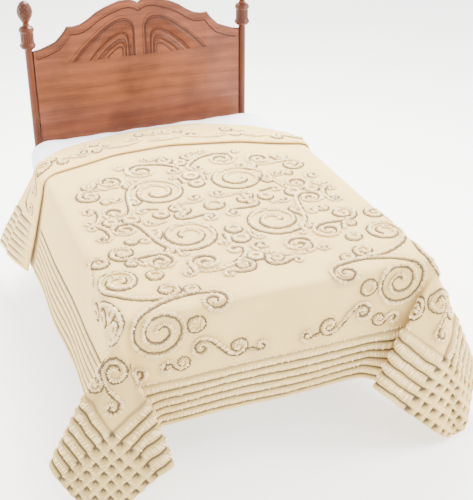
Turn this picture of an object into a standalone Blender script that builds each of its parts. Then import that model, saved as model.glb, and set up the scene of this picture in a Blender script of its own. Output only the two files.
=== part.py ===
"""A double bed dressed with a chenille bedspread. Metres, +Z up, +Y towards the headboard."""

import math

import bmesh
import bpy
import numpy as np

# The row's frame: the middle of the whole object's base
SHIFT_X = 0.0208
SHIFT_Y = -0.8971

# Bed
HALF_W = 0.685
BED_L = 1.91
TOP_Z = 0.815
MATTRESS_T = 0.27
MATTRESS_EDGE = 0.055
MATTRESS_CORNER = 0.10
CLEAR = 0.006
GAP = 0.0006

# Bedspread
THICK = 0.0024
RIB_START = 0.31
RIB_PITCH = 0.0515
SIDE_RIBS = 7
FOOT_RIBS = 6
SIDE_DROP = RIB_START + (SIDE_RIBS - 0.5) * RIB_PITCH
FOOT_DROP = RIB_START + (FOOT_RIBS - 0.5) * RIB_PITCH
RIB_H = 0.0075
CORNER_R = 2.5 * RIB_PITCH
SOFTEN = 0.042
APEX = 0.15
LEAN = math.radians(4.7)
TUCK = math.radians(15.5)
TUCK_FROM = 0.295
TUCK_FADE = {-1: (0.50, 0.66), 1: (0.40, 0.54)}

# Each foot corner hangs as a cone from the mattress corner. The rulings go out to
# the side, out to the foot, per unit of length; the angles are the share of wall
# cloth that the cone takes in on the foot's side and on the side's side.
FLAPS = {
    -1: {
        "foot_share": math.radians(3.0),
        "side_share": math.radians(5.0),
        "rulings": [(-0.25, 0.27), (-0.10, 0.21), (0.15, 0.14), (0.37, 0.05), (0.43, -0.08)],
    },
    1: {
        "foot_share": math.radians(13.2),
        "side_share": math.radians(5.0),
        "rulings": [(-0.215, 0.06), (-0.53, 0.18), (-0.07, 0.271), (0.08, 0.217), (0.137, 0.252), (0.40, -0.02), (0.24, -0.11)],
    },
}

# Head end: where the folded-over layer starts, where the cloth turns back below it,
# and where the cloth ends, by distance across the cloth
FOLD_AT = [(-1.33, 1.64), (-0.70, 1.30), (-0.65, 1.38), (-0.43, 1.45), (-0.29, 1.50), (0.0, 1.52),
           (0.37, 1.43), (0.51, 1.35), (0.68, 1.28), (1.33, 1.42)]
TURN_AT = [(-1.33, 1.86), (-0.73, 1.46), (-0.61, 1.55), (-0.43, 1.605), (-0.11, 1.595), (0.0, 1.58),
           (0.37, 1.49), (0.51, 1.41), (0.68, 1.34), (1.33, 1.50)]
END_AT = [(-1.33, 2.02), (-0.71, 1.53), (-0.59, 1.63), (-0.51, 1.69), (-0.25, 1.76), (0.0, 1.78),
          (0.25, 1.76), (0.50, 1.62), (0.68, 1.44), (1.33, 1.60)]
FOLD_R = 0.0055

# Headboard
POST_X = 0.59
POST_Y = BED_L + 0.06
POST_R = 0.019


def clear_scene():
    for obj in list(bpy.data.objects):
        bpy.data.objects.remove(obj, do_unlink=True)


def make_material(name, colour, roughness):
    mat = bpy.data.materials.new(name)
    mat.use_nodes = True
    shader = mat.node_tree.nodes["Principled BSDF"]
    shader.inputs["Base Color"].default_value = (*colour, 1)
    shader.inputs["Roughness"].default_value = roughness
    return mat


def add_object(name, mesh, colour, roughness):
    obj = bpy.data.objects.new(name, mesh)
    bpy.data.collections["dressed_bed"].objects.link(obj)
    mesh.materials.append(make_material(name, colour, roughness))
    return obj


def mesh_from(name, points, faces):
    shift = np.array([SHIFT_X, SHIFT_Y, 0.0])
    mesh = bpy.data.meshes.new(name)
    mesh.from_pydata((np.asarray(points, float) + shift).tolist(), [], faces)
    mesh.validate()
    return mesh


# ---- bedspread ----


def along(knots, u):
    """The knots' value at u, eased over 8 cm."""
    xs, ys = zip(*knots)
    return sum(np.interp(u + d, xs, ys) for d in (-0.04, -0.02, 0.0, 0.02, 0.04)) / 5


def flap_curve(side, steps=40):
    """Unit rulings of one corner's cone, from the foot wall's to the side wall's."""
    flap = FLAPS[side]
    foot, edge = flap["foot_share"], flap["side_share"]
    points = [(-math.sin(foot), 0.0, math.cos(foot))]
    points += [(x, y, math.sqrt(1 - x * x - y * y)) for x, y in flap["rulings"]]
    points += [(math.sin(LEAN) * math.cos(edge), -math.sin(edge), math.cos(LEAN) * math.cos(edge))]
    points = np.array(points)
    points = np.vstack([2 * points[0] - points[1], points, 2 * points[-1] - points[-2]])
    rows = []
    for i in range(1, len(points) - 2):
        t = np.linspace(0, 1, steps, endpoint=False)[:, None]
        p0, p1, p2, p3 = points[i - 1 : i + 3]
        rows.append(0.5 * (2 * p1 + (p2 - p0) * t + (2 * p0 - 5 * p1 + 4 * p2 - p3) * t**2
                           + (3 * p1 - p0 - 3 * p2 + p3) * t**3))
    rows = np.vstack(rows + [points[-2:-1]])
    rows /= np.linalg.norm(rows, axis=1)[:, None]
    turn = np.arccos(np.clip((rows[1:] * rows[:-1]).sum(1), -1, 1))
    return rows, np.concatenate([[0], np.cumsum(turn)])


CURVES = {side: flap_curve(side) for side in FLAPS}


def sharp_drape(u, s):
    """Where the cloth's point u across, s along lies, with every edge still sharp."""
    side = np.where(u < 0, -1.0, 1.0)
    a, b = np.abs(u) - HALF_W, -s
    x = np.where(a > 0, side * (HALF_W + a * math.sin(LEAN)), u)
    y = np.where(b > 0, 0.0, s)
    z = np.where(a > 0, -a * math.cos(LEAN), np.where(b > 0, -b, 0.0))
    phi, rho = np.arctan2(a, b), np.hypot(a, b)
    for sign, (rows, turn) in CURVES.items():
        flap = FLAPS[sign]
        whole = math.pi / 2 + flap["foot_share"] + flap["side_share"]
        cone = (side == sign) & ((a > 0) | (b > 0))
        cone &= (phi > -flap["foot_share"]) & (phi < math.pi / 2 + flap["side_share"])
        at = (phi + flap["foot_share"]) / whole * turn[-1]
        out, forward, down = (np.interp(at, turn, rows[:, k]) for k in range(3))
        plain = np.clip((APEX - rho) / (APEX - 0.03), 0, 1)
        between = np.clip(phi, 0, math.pi / 2)
        bulge = 0.14 * np.sin(2 * between)
        out = out + plain * (np.sin(np.minimum(phi, 0)) + bulge + math.sin(LEAN) * np.sin(between) - out)
        forward = forward + plain * (bulge + np.cos(np.maximum(phi, math.pi / 2)) - forward)
        x = np.where(cone, sign * (HALF_W + rho * out), x)
        y = np.where(cone, -rho * forward, y)
        z = np.where(cone, -rho * down, z)
    return np.stack([x, y, z], -1)


def soft_drape(u, s):
    """The drape with its edges and folds eased, and the foot drop tucked in below."""
    offsets = [(-1.0, 1.0), (-0.5, 2.0), (0.0, 3.0), (0.5, 2.0), (1.0, 1.0)]
    total, weight = 0.0, 0.0
    for du, wu in offsets:
        for ds, ws in offsets:
            total = total + wu * ws * sharp_drape(u + du * SOFTEN, s + ds * SOFTEN)
            weight += wu * ws
    point = total / weight
    start, stop = (np.where(u < 0, TUCK_FADE[-1][k], TUCK_FADE[1][k]) for k in (0, 1))
    centre = np.clip((stop - np.abs(u)) / (stop - start), 0, 1) * (s < 0.0)
    centre = centre * centre * (3 - 2 * centre)
    below = np.maximum(0, -TUCK_FROM - point[..., 2])
    angle = TUCK * centre * np.clip(below / 0.03, 0, 1)
    point[..., 1] += below * np.sin(angle)
    point[..., 2] += below * (1 - np.cos(angle))
    return point


def wave(u, s):
    """Slight swells of the hanging cloth, outwards from each wall."""
    a, b = np.abs(u) - HALF_W, -s
    side = np.clip(a / SIDE_DROP, 0, 1) * np.clip(s / 0.4, 0, 1)
    foot = np.clip(b / FOOT_DROP, 0, 1) * np.clip(-a / 0.3, 0, 1)
    return (side * 0.006 * np.sin(9.0 * s + 2.0 * np.sign(u)), foot * 0.005 * np.sin(11.0 * u + 0.6))


def fold_fade(u, s):
    """Zero beside the valley where the foot wall turns into each corner's fold."""
    share = np.where(u < 0, FLAPS[-1]["foot_share"], FLAPS[1]["foot_share"])
    a, b = np.abs(u) - HALF_W, -s
    apart = np.hypot(a, b) * np.abs(np.arctan2(a, b) + share)
    return np.where(b > 0, np.clip((apart - 0.035) / 0.04, 0, 1), 1.0)


def rib_height(u, s):
    """Raised ribs along both drops, with grooves at whole pitches."""
    height = 0.0
    for depth, last in ((np.abs(u) - HALF_W, SIDE_RIBS), (-s, FOOT_RIBS)):
        t = (depth - RIB_START) / RIB_PITCH
        part = t - np.floor(t)
        bump = np.where((t > -0.01) & (t < last - 0.45), np.minimum(1, 2.4 * np.minimum(part, 1 - part)), 0)
        height = np.maximum(height, bump)
    both = (np.abs(u) - HALF_W > RIB_START) & (-s > RIB_START)
    height = height * fold_fade(u, s)
    groove = 1.0
    for depth in (np.abs(u) - HALF_W, -s):
        t = (depth - RIB_START) / RIB_PITCH
        part = t - np.floor(t)
        groove = np.minimum(groove, np.minimum(1, 2.4 * np.minimum(part, 1 - part)))
    return RIB_H * np.where(both, groove, height)


def grid_columns():
    """Distances across the cloth, from one side hem to the other."""
    ribs = [SIDE_DROP] + [RIB_START + RIB_PITCH * k / 2 for k in range(2 * SIDE_RIBS - 2, -1, -1)]
    smooth = [0.26, 0.21, 0.165, 0.125, 0.09, 0.06, 0.035, 0.015, 0.0]
    drop = [HALF_W + d for d in ribs + smooth]
    top = [HALF_W - d for d in (0.02, 0.045, 0.075, 0.11, 0.15, 0.20, 0.30, 0.42, 0.56)]
    half = drop + top
    return np.array([-v for v in half] + [0.0] + half[::-1])


def grid_rows():
    """Rows as (kind, value): plain rows hold a distance along, pleat rows a share."""
    ribs = [FOOT_DROP] + [RIB_START + RIB_PITCH * k / 2 for k in range(2 * FOOT_RIBS - 2, -1, -1)]
    plain = [-d for d in ribs + [0.26, 0.21, 0.165, 0.125, 0.09, 0.06, 0.035, 0.015, 0.0]]
    return plain + [0.02, 0.045, 0.08, 0.2, 0.5, 0.9]


def corner_rounded(u, s):
    """Grid points of the two foot corners moved in, so that the hem turns in an arc."""
    a, b = np.abs(u) - HALF_W, -s
    p = (a - (SIDE_DROP - CORNER_R)) / CORNER_R
    q = (b - (FOOT_DROP - CORNER_R)) / CORNER_R
    inside = (p > 0) & (q > 0)
    p2 = np.where(inside, p * np.sqrt(np.clip(1 - q * q / 2, 0, 1)), p)
    q2 = np.where(inside, q * np.sqrt(np.clip(1 - p * p / 2, 0, 1)), q)
    return np.sign(u) * (HALF_W + SIDE_DROP - CORNER_R + p2 * CORNER_R), -(FOOT_DROP - CORNER_R + q2 * CORNER_R)


def pleat_rows(u):
    """The folded head end at u: (along, stacked height, ribs, flare) from foot to head."""
    fold, turn, end = along(FOLD_AT, u), along(TURN_AT, u), along(END_AT, u)
    r = FOLD_R
    rows = [(fold - 0.16, 0, 1, 0), (fold - 0.05, 0, 1, 0), (fold - 0.012, 0, 0, 0), (turn - r, 0, 0, 0.002)]
    for angle in (50, 130):
        t = math.radians(angle)
        rows.append((turn - r + r * math.sin(t), r * (1 - math.cos(t)), 0, 0.004))
    rows += [(turn - r, 2 * r, 0, 0.006), (fold + r, 2 * r, 0, 0.018)]
    for angle in (50, 130):
        t = math.radians(angle)
        rows.append((fold + r - r * math.sin(t), 2 * r + r * (1 - math.cos(t)), 0, 0.02))
    rows += [(fold + r, 4 * r, 0, 0.022), (fold + 0.02, 4 * r, 1, 0.028), ((fold + turn) / 2 + 0.01, 4 * r, 1, 0.052),
             (turn + 0.004, 4 * r, 1, 0.078), (turn + 0.035, 1.2 * r, 1, 0.085),
             ((turn + end) / 2 + 0.02, 0, 1, 0.10), (end, 0, 1, 0.115)]
    return rows


def cloth_grid():
    """Mid-surface points, rib heights and grid size."""
    u_line = grid_columns()
    points, ribs = [], []
    for s in grid_rows():
        u, along_s = u_line.copy(), np.full(len(u_line), s)
        if s < 0:
            ru, rs = corner_rounded(u, along_s)
            corner = (np.abs(u) > HALF_W + SIDE_DROP - CORNER_R) & (along_s < -(FOOT_DROP - CORNER_R))
            u, along_s = np.where(corner, ru, u), np.where(corner, rs, along_s)
        point = soft_drape(u, along_s)
        out_x, out_y = wave(u, along_s)
        point[..., 0] += np.sign(u) * out_x
        point[..., 1] -= out_y
        points.append(point)
        ribs.append(rib_height(u, along_s))
    for s, height, ribbed, flare in pleat_rows(u_line):
        point = soft_drape(u_line, s)
        ahead = soft_drape(u_line + 0.002, s) - soft_drape(u_line - 0.002, s)
        normal = np.stack([-ahead[:, 2], 0 * ahead[:, 2], ahead[:, 0]], -1)
        normal /= np.linalg.norm(normal, axis=1)[:, None]
        out_x, _ = wave(u_line, s)
        point = point + normal * height
        depth = np.clip((np.abs(u_line) - HALF_W) / SIDE_DROP, 0, 1)
        point[:, 0] += np.sign(u_line) * (out_x + flare * depth)
        points.append(point)
        ribs.append(rib_height(u_line, 0 * u_line + 1.0) * ribbed)
    return np.array(points), np.array(ribs)


def grid_normals(grid):
    across = np.gradient(grid, axis=1)
    ahead = np.gradient(grid, axis=0)
    normal = np.cross(across, ahead)
    return normal / np.maximum(np.linalg.norm(normal, axis=-1), 1e-9)[..., None]


def build_bedspread():
    grid, ribs = cloth_grid()
    normal = grid_normals(grid)
    grid[..., 2] += TOP_Z + GAP + THICK / 2
    outer = grid + normal * (THICK / 2 + ribs)[..., None]
    inner = grid - normal * (THICK / 2)
    rows, columns = ribs.shape
    points = np.concatenate([outer.reshape(-1, 3), inner.reshape(-1, 3)])
    under = rows * columns
    faces = []
    for i in range(rows - 1):
        for j in range(columns - 1):
            a, b = i * columns + j, i * columns + j + 1
            c, d = b + columns, a + columns
            # The diagonal runs with the corner's folds
            pair = [(a, b, d), (b, c, d)] if 2 * j >= columns - 1 else [(a, b, c), (a, c, d)]
            faces += pair + [tuple(under + v for v in reversed(face)) for face in pair]
    rim = [j for j in range(columns)] + [i * columns + columns - 1 for i in range(1, rows)]
    rim += [(rows - 1) * columns + j for j in range(columns - 2, -1, -1)] + [i * columns for i in range(rows - 2, 0, -1)]
    for k, v in enumerate(rim):
        w = rim[(k + 1) % len(rim)]
        faces.append((w, v, under + v, under + w))
    mesh = mesh_from("bedspread", points, faces)
    return add_object("bedspread", mesh, (0.90, 0.84, 0.72), 0.95)


# ---- bed ----


def rounded_slab(name, half_x, y0, y1, z0, z1, corner, edge, colour, roughness):
    """A slab with round corners in plan and round top and bottom edges."""
    rings = []
    steps = 4
    for level in range(2 * (steps + 1)):
        top = level > steps
        t = math.radians(90 * ((level - steps - 1) if top else (steps - level)) / steps)
        inset = edge * (1 - math.cos(t))
        z = (z1 - edge + edge * math.sin(t)) if top else (z0 + edge - edge * math.sin(t))
        ring = []
        for cx, cy, start in ((1, 1, 0), (-1, 1, 90), (-1, -1, 180), (1, -1, 270)):
            for k in range(6):
                angle = math.radians(start + 18 * k)
                r = corner - inset
                ring.append((cx * (half_x - corner) + r * math.cos(angle),
                             (y1 - corner if cy > 0 else y0 + corner) + r * math.sin(angle), z))
        rings.append(ring)
    points = [p for ring in rings for p in ring]
    n = len(rings[0])
    faces = [tuple(range(n - 1, -1, -1)), tuple(range(len(points) - n, len(points)))]
    for i in range(len(rings) - 1):
        for j in range(n):
            k = (j + 1) % n
            faces.append((i * n + j, i * n + k, (i + 1) * n + k, (i + 1) * n + j))
    return add_object(name, mesh_from(name, points, faces), colour, roughness)


def box_points(x0, x1, y0, y1, z0, z1):
    return [(x, y, z) for z in (z0, z1) for x, y in ((x0, y0), (x1, y0), (x1, y1), (x0, y1))]


BOX_FACES = [(3, 2, 1, 0), (4, 5, 6, 7), (0, 1, 5, 4), (1, 2, 6, 5), (2, 3, 7, 6), (3, 0, 4, 7)]


def turned(name, profile, x, y, colour, roughness, sides=20):
    """A lathe-turned piece standing at x, y. The profile runs up, as (radius, height)."""
    points, faces = [], []
    for r, z in profile:
        for k in range(sides):
            t = 2 * math.pi * k / sides
            points.append((x + r * math.cos(t), y + r * math.sin(t), z))
    for i in range(len(profile) - 1):
        for j in range(sides):
            k = (j + 1) % sides
            faces.append((i * sides + j, i * sides + k, (i + 1) * sides + k, (i + 1) * sides + j))
    faces.append(tuple(range(sides - 1, -1, -1)))
    faces.append(tuple(range(len(points) - sides, len(points))))
    return add_object(name, mesh_from(name, points, faces), colour, roughness)


WOOD = (0.42, 0.16, 0.08)


def post_profile():
    """Radius and height from the floor to the finial's tip."""
    h = TOP_Z
    return [(0.020, 0), (0.026, 0.015), (0.026, 0.06), (0.034, 0.075), (0.034, 0.30), (0.026, 0.315),
            (0.030, 0.34), (0.024, 0.37), (0.021, 0.56), (POST_R, h - 0.14), (POST_R, h + 0.452), (0.038, h + 0.466), (0.042, h + 0.477), (0.036, h + 0.487), (0.034, h + 0.52),
            (0.037, h + 0.548), (0.040, h + 0.557), (0.034, h + 0.570), (0.018, h + 0.580), (0.015, h + 0.592),
            (0.022, h + 0.604), (0.036, h + 0.628), (0.041, h + 0.650), (0.036, h + 0.674), (0.024, h + 0.695),
            (0.008, h + 0.706)]


def panel_outline():
    """One half of the headboard's top edge, from the middle notch outwards, as (x, z)."""
    h = TOP_Z
    return [(0.0, h + 0.640), (0.02, h + 0.652), (0.05, h + 0.662), (0.09, h + 0.660), (0.13, h + 0.648),
            (0.18, h + 0.631), (0.228, h + 0.608), (0.27, h + 0.579), (0.31, h + 0.557), (0.345, h + 0.550),
            (0.385, h + 0.552), (0.402, h + 0.525), (0.448, h + 0.479), (0.49, h + 0.462), (0.53, h + 0.448),
            (POST_X - POST_R - 0.0004, h + 0.440)]


def build_headboard():
    """The shaped panel between the posts, with two raised arched fields."""
    half = panel_outline()
    bottom = TOP_Z - 0.12
    top = [(-x, z) for x, z in reversed(half[1:])] + half
    outline = [(-half[-1][0], bottom)] + top + [(half[-1][0], bottom)]
    y0, y1 = POST_Y - 0.011, POST_Y + 0.011
    n = len(outline)
    points = [(x, y0, z) for x, z in outline] + [(x, y1, z) for x, z in outline]
    faces = [tuple(range(n - 1, -1, -1)), tuple(range(n, 2 * n))]
    faces += [(j, (j + 1) % n, n + (j + 1) % n, n + j) for j in range(n)]
    panel = add_object("headboard", mesh_from("headboard", points, faces), WOOD, 0.35)
    for side in (-1, 1):
        arch = [(0.023, 0.36), (0.40, 0.36), (0.37, 0.405), (0.266, 0.48), (0.20, 0.531), (0.16, 0.556),
                (0.128, 0.572), (0.10, 0.579), (0.073, 0.579), (0.045, 0.566), (0.03, 0.544), (0.023, 0.50)]
        ring = [(side * x, TOP_Z + z) for x, z in arch]
        if side < 0:
            ring.reverse()
        m = len(ring)
        cx = sum(x for x, _ in ring) / m
        cz = sum(z for _, z in ring) / m
        front = [(cx + (x - cx) * 0.93, cz + (z - cz) * 0.93) for x, z in ring]
        points = [(x, y0 - 0.006, z) for x, z in front] + [(x, y0 - 0.003, z) for x, z in ring]
        points += [(x, y0 + 0.006, z) for x, z in ring]
        faces = [tuple(range(m)), tuple(range(3 * m - 1, 2 * m - 1, -1))]
        for i in range(2):
            faces += [(i * m + (j + 1) % m, i * m + j, (i + 1) * m + j, (i + 1) * m + (j + 1) % m) for j in range(m)]
        field = bpy.data.objects.new("field", mesh_from("field", points, faces))
        bpy.data.collections["cutters"].objects.link(field)
        field.hide_render = True
        field.display_type = "WIRE"
        join = panel.modifiers.new("field", "BOOLEAN")
        join.operation, join.solver, join.object = "UNION", "EXACT", field
    return panel


def build_rails():
    """Each side rail runs from its post to a leg near the foot."""
    for side, name in ((-1, "rail_left"), (1, "rail_right")):
        x0, x1 = sorted((side * (POST_X - 0.012), side * (POST_X + 0.012)))
        z1 = TOP_Z - MATTRESS_T - 0.19 - GAP - 0.0004
        y_leg, y_end = 0.40, POST_Y - 0.0345
        profile = [(y_leg, 0), (y_leg + 0.05, 0), (y_leg + 0.05, z1 - 0.09), (y_end, z1 - 0.09), (y_end, z1),
                   (y_leg - 0.18, z1), (y_leg - 0.18, z1 - 0.09), (y_leg, z1 - 0.09)]
        n = len(profile)
        points = [(x0, y, z) for y, z in profile] + [(x1, y, z) for y, z in profile]
        faces = [tuple(range(n - 1, -1, -1)), tuple(range(n, 2 * n))]
        faces += [(j, (j + 1) % n, n + (j + 1) % n, n + j) for j in range(n)]
        add_object(name, mesh_from(name, points, faces), WOOD, 0.4)


def build_bed():
    z = TOP_Z - MATTRESS_T
    rounded_slab("mattress", HALF_W - CLEAR, CLEAR, BED_L, z, TOP_Z, MATTRESS_CORNER, MATTRESS_EDGE, (0.93, 0.93, 0.95), 0.9)
    rounded_slab("base", HALF_W - 0.06, 0.16, BED_L, z - GAP - 0.19, z - GAP, 0.05, 0.012, (0.85, 0.85, 0.86), 0.9)
    for side, name in ((-1, "post_left"), (1, "post_right")):
        turned(name, post_profile(), side * POST_X, POST_Y, WOOD, 0.3)
    build_headboard()
    build_rails()


def main():
    clear_scene()
    for name in ("dressed_bed", "cutters"):
        collection = bpy.data.collections.new(name)
        bpy.context.scene.collection.children.link(collection)
    bpy.data.collections["cutters"].hide_render = True
    build_bedspread()
    build_bed()


main()
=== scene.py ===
import math
import bpy
import numpy as np
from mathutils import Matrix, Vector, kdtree


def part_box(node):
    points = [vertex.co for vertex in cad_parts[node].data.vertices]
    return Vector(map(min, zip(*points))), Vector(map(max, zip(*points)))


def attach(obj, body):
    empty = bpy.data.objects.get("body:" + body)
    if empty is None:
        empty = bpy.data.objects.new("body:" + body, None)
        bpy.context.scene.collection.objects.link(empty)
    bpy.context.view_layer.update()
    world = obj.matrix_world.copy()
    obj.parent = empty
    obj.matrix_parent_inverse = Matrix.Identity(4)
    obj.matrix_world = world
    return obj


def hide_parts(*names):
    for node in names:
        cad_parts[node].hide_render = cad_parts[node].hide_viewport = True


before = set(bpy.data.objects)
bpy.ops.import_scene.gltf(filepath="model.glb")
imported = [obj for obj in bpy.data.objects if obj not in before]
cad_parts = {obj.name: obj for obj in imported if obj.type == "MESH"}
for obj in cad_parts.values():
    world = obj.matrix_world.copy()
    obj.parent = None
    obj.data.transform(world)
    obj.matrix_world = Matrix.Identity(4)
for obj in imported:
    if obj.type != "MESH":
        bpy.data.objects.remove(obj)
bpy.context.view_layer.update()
print("stage: frame loaded", list(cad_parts))

# where the CAD frame's origin lies against the foot edge of the mattress
place = {"shiftX": 0.0208, "shiftY": -0.8971, "mattressTop": 0.815}

cameraView = {"x": -1.41, "y": -3.089, "z": 2.094, "yaw": 21.26, "pitch": 29.39, "lens": 76.57, "sensor": 36.0}


def addCamera(v):
    data = bpy.data.cameras.new("camera")
    data.sensor_fit, data.sensor_width, data.lens = "HORIZONTAL", v["sensor"], v["lens"]
    data.clip_start, data.clip_end = 0.05, 60
    obj = bpy.data.objects.new("camera", data)
    obj.location = (v["x"] + place["shiftX"], v["y"] + place["shiftY"], v["z"] + place["mattressTop"])
    obj.rotation_euler = (math.radians(90 - v["pitch"]), 0, -math.radians(v["yaw"]))
    bpy.context.scene.collection.objects.link(obj)
    bpy.context.scene.camera = obj


addCamera(cameraView)


# ---- shared helpers for meshes

def newObject(name, points, faces, material=None, uv=None, smooth=True):
    mesh = bpy.data.meshes.new(name)
    mesh.from_pydata(np.asarray(points, float).tolist(), [], [tuple(f) for f in faces])
    if uv is not None:
        layer = mesh.uv_layers.new(name="flat")
        loops = np.empty(len(mesh.loops), np.int32)
        mesh.loops.foreach_get("vertex_index", loops)
        layer.data.foreach_set("uv", np.asarray(uv, np.float32)[loops].ravel())
    mesh.shade_smooth() if smooth else None
    if material:
        mesh.materials.append(material)
    obj = bpy.data.objects.new(name, mesh)
    bpy.context.scene.collection.objects.link(obj)
    return obj


def setAttribute(obj, name, kind, values):
    attribute = obj.data.attributes.new(name, kind, "POINT")
    key = "vector" if kind == "FLOAT_VECTOR" else "value"
    attribute.data.foreach_set(key, np.asarray(values, np.float32).ravel())


def bakeModifiers(obj, name=None):
    # the evaluated result as a plain mesh, with the modifiers gone
    graph = bpy.context.evaluated_depsgraph_get()
    mesh = bpy.data.meshes.new_from_object(obj.evaluated_get(graph))
    obj.modifiers.clear()
    old, obj.data = obj.data, mesh
    bpy.data.meshes.remove(old)
    mesh.name = name or obj.name
    return obj


def wire(tree, a, b):
    tree.links.new(a, b)


# ---- geometry node helpers

def newGeometryTree(name, inputs):
    tree = bpy.data.node_groups.new(name, "GeometryNodeTree")
    tree.interface.new_socket("Geometry", in_out="INPUT", socket_type="NodeSocketGeometry")
    for label, kind, value in inputs:
        socket = tree.interface.new_socket(label, in_out="INPUT", socket_type=kind)
        if value is not None:
            socket.default_value = value
    tree.interface.new_socket("Geometry", in_out="OUTPUT", socket_type="NodeSocketGeometry")
    return tree, tree.nodes.new("NodeGroupInput"), tree.nodes.new("NodeGroupOutput")


def useTree(obj, tree, values):
    modifier = obj.modifiers.new(tree.name, "NODES")
    modifier.node_group = tree
    for item in tree.interface.items_tree:
        if item.in_out == "INPUT" and item.name in values:
            modifier[item.identifier] = values[item.name]
    return modifier


def tuftTree(name, facets):
    # a tuft on every point, its height along "out" and its length across "along"
    inputs = [("Length", "NodeSocketFloat", 0.007), ("Width", "NodeSocketFloat", 0.003),
              ("Height", "NodeSocketFloat", 0.0045), ("Uneven", "NodeSocketFloat", 0.2),
              ("Seed", "NodeSocketInt", 1), ("Material", "NodeSocketMaterial", None)]
    tree, start, end = newGeometryTree(name, inputs)
    nodes = tree.nodes
    ball = nodes.new("GeometryNodeMeshIcoSphere")
    ball.inputs["Radius"].default_value = 1.0
    ball.inputs["Subdivisions"].default_value = facets
    sizes = nodes.new("ShaderNodeCombineXYZ")
    for socket, label in (("X", "Width"), ("Y", "Length"), ("Z", "Height")):
        wire(tree, start.outputs[label], sizes.inputs[socket])
    position, height = nodes.new("GeometryNodeInputPosition"), nodes.new("ShaderNodeSeparateXYZ")
    wire(tree, position.outputs[0], height.inputs[0])
    # the height on the tuft, stored for the painted shade at its foot
    tip = nodes.new("GeometryNodeStoreNamedAttribute")
    tip.data_type, tip.domain = "FLOAT", "POINT"
    tip.inputs["Name"].default_value = "tip"
    wire(tree, ball.outputs["Mesh"], tip.inputs["Geometry"])
    wire(tree, height.outputs["Z"], tip.inputs["Value"])
    shape = nodes.new("GeometryNodeTransform")
    wire(tree, tip.outputs[0], shape.inputs["Geometry"])
    wire(tree, sizes.outputs[0], shape.inputs["Scale"])
    smooth = nodes.new("GeometryNodeSetShadeSmooth")
    wire(tree, shape.outputs[0], smooth.inputs["Geometry"])
    out, along, size = (nodes.new("GeometryNodeInputNamedAttribute") for _ in range(3))
    for node, label, kind in ((out, "out", "FLOAT_VECTOR"), (along, "along", "FLOAT_VECTOR"), (size, "size", "FLOAT")):
        node.data_type = kind
        node.inputs["Name"].default_value = label
    turn = nodes.new("FunctionNodeAxesToRotation")
    turn.primary_axis, turn.secondary_axis = "Z", "X"
    wire(tree, out.outputs["Attribute"], turn.inputs["Primary Axis"])
    wire(tree, along.outputs["Attribute"], turn.inputs["Secondary Axis"])
    low = nodes.new("ShaderNodeMath")
    low.operation = "SUBTRACT"
    low.inputs[0].default_value = 1.0
    wire(tree, start.outputs["Uneven"], low.inputs[1])
    high = nodes.new("ShaderNodeMath")
    high.operation = "ADD"
    high.inputs[0].default_value = 1.0
    wire(tree, start.outputs["Uneven"], high.inputs[1])
    chance = nodes.new("FunctionNodeRandomValue")
    chance.data_type = "FLOAT"
    wire(tree, low.outputs[0], chance.inputs[2])
    wire(tree, high.outputs[0], chance.inputs[3])
    wire(tree, start.outputs["Seed"], chance.inputs["Seed"])
    scale = nodes.new("ShaderNodeMath")
    scale.operation = "MULTIPLY"
    wire(tree, chance.outputs[1], scale.inputs[0])
    wire(tree, size.outputs["Attribute"], scale.inputs[1])
    copies = nodes.new("GeometryNodeInstanceOnPoints")
    wire(tree, start.outputs["Geometry"], copies.inputs["Points"])
    wire(tree, smooth.outputs[0], copies.inputs["Instance"])
    wire(tree, turn.outputs[0], copies.inputs["Rotation"])
    wire(tree, scale.outputs[0], copies.inputs["Scale"])
    real = nodes.new("GeometryNodeRealizeInstances")
    wire(tree, copies.outputs[0], real.inputs[0])
    finish = nodes.new("GeometryNodeSetMaterial")
    wire(tree, real.outputs[0], finish.inputs["Geometry"])
    wire(tree, start.outputs["Material"], finish.inputs["Material"])
    wire(tree, finish.outputs[0], end.inputs[0])
    return tree


def tuftPiece(name, points, out, along, size, tree, values):
    obj = newObject(name, points, [])
    setAttribute(obj, "out", "FLOAT_VECTOR", out)
    setAttribute(obj, "along", "FLOAT_VECTOR", along)
    setAttribute(obj, "size", "FLOAT", size)
    useTree(obj, tree, values)
    return bakeModifiers(obj)


# ---- shader helpers

def newShaderGroup(name, inputs, outputs):
    tree = bpy.data.node_groups.new(name, "ShaderNodeTree")
    for label, kind, value in inputs:
        socket = tree.interface.new_socket(label, in_out="INPUT", socket_type=kind)
        if value is not None:
            socket.default_value = value
    for label, kind in outputs:
        tree.interface.new_socket(label, in_out="OUTPUT", socket_type=kind)
    return tree, tree.nodes.new("NodeGroupInput"), tree.nodes.new("NodeGroupOutput")


def mathNode(tree, operation, a, b=None, clamp=False):
    node = tree.nodes.new("ShaderNodeMath")
    node.operation, node.use_clamp = operation, clamp
    for i, value in enumerate((a, b)):
        if value is None:
            continue
        if isinstance(value, (int, float)):
            node.inputs[i].default_value = value
        else:
            wire(tree, value, node.inputs[i])
    return node.outputs[0]


def mixColours(tree, factor, a, b, blend="MIX"):
    node = tree.nodes.new("ShaderNodeMix")
    node.data_type, node.blend_type = "RGBA", blend
    for socket, value in ((node.inputs[0], factor), (node.inputs[6], a), (node.inputs[7], b)):
        if isinstance(value, (int, float)):
            socket.default_value = value
        elif isinstance(value, tuple):
            socket.default_value = (*value, 1)
        else:
            wire(tree, value, socket)
    return node.outputs[2]


def noiseNode(tree, vector, scale, detail=3.0, roughness=0.5):
    node = tree.nodes.new("ShaderNodeTexNoise")
    node.inputs["Scale"].default_value = scale
    node.inputs["Detail"].default_value = detail
    node.inputs["Roughness"].default_value = roughness
    wire(tree, vector, node.inputs["Vector"])
    return node.outputs["Fac"]


def scaled(tree, vector, scale):
    node = tree.nodes.new("ShaderNodeMapping")
    node.inputs["Scale"].default_value = scale
    wire(tree, vector, node.inputs["Vector"])
    return node.outputs[0]


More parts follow.
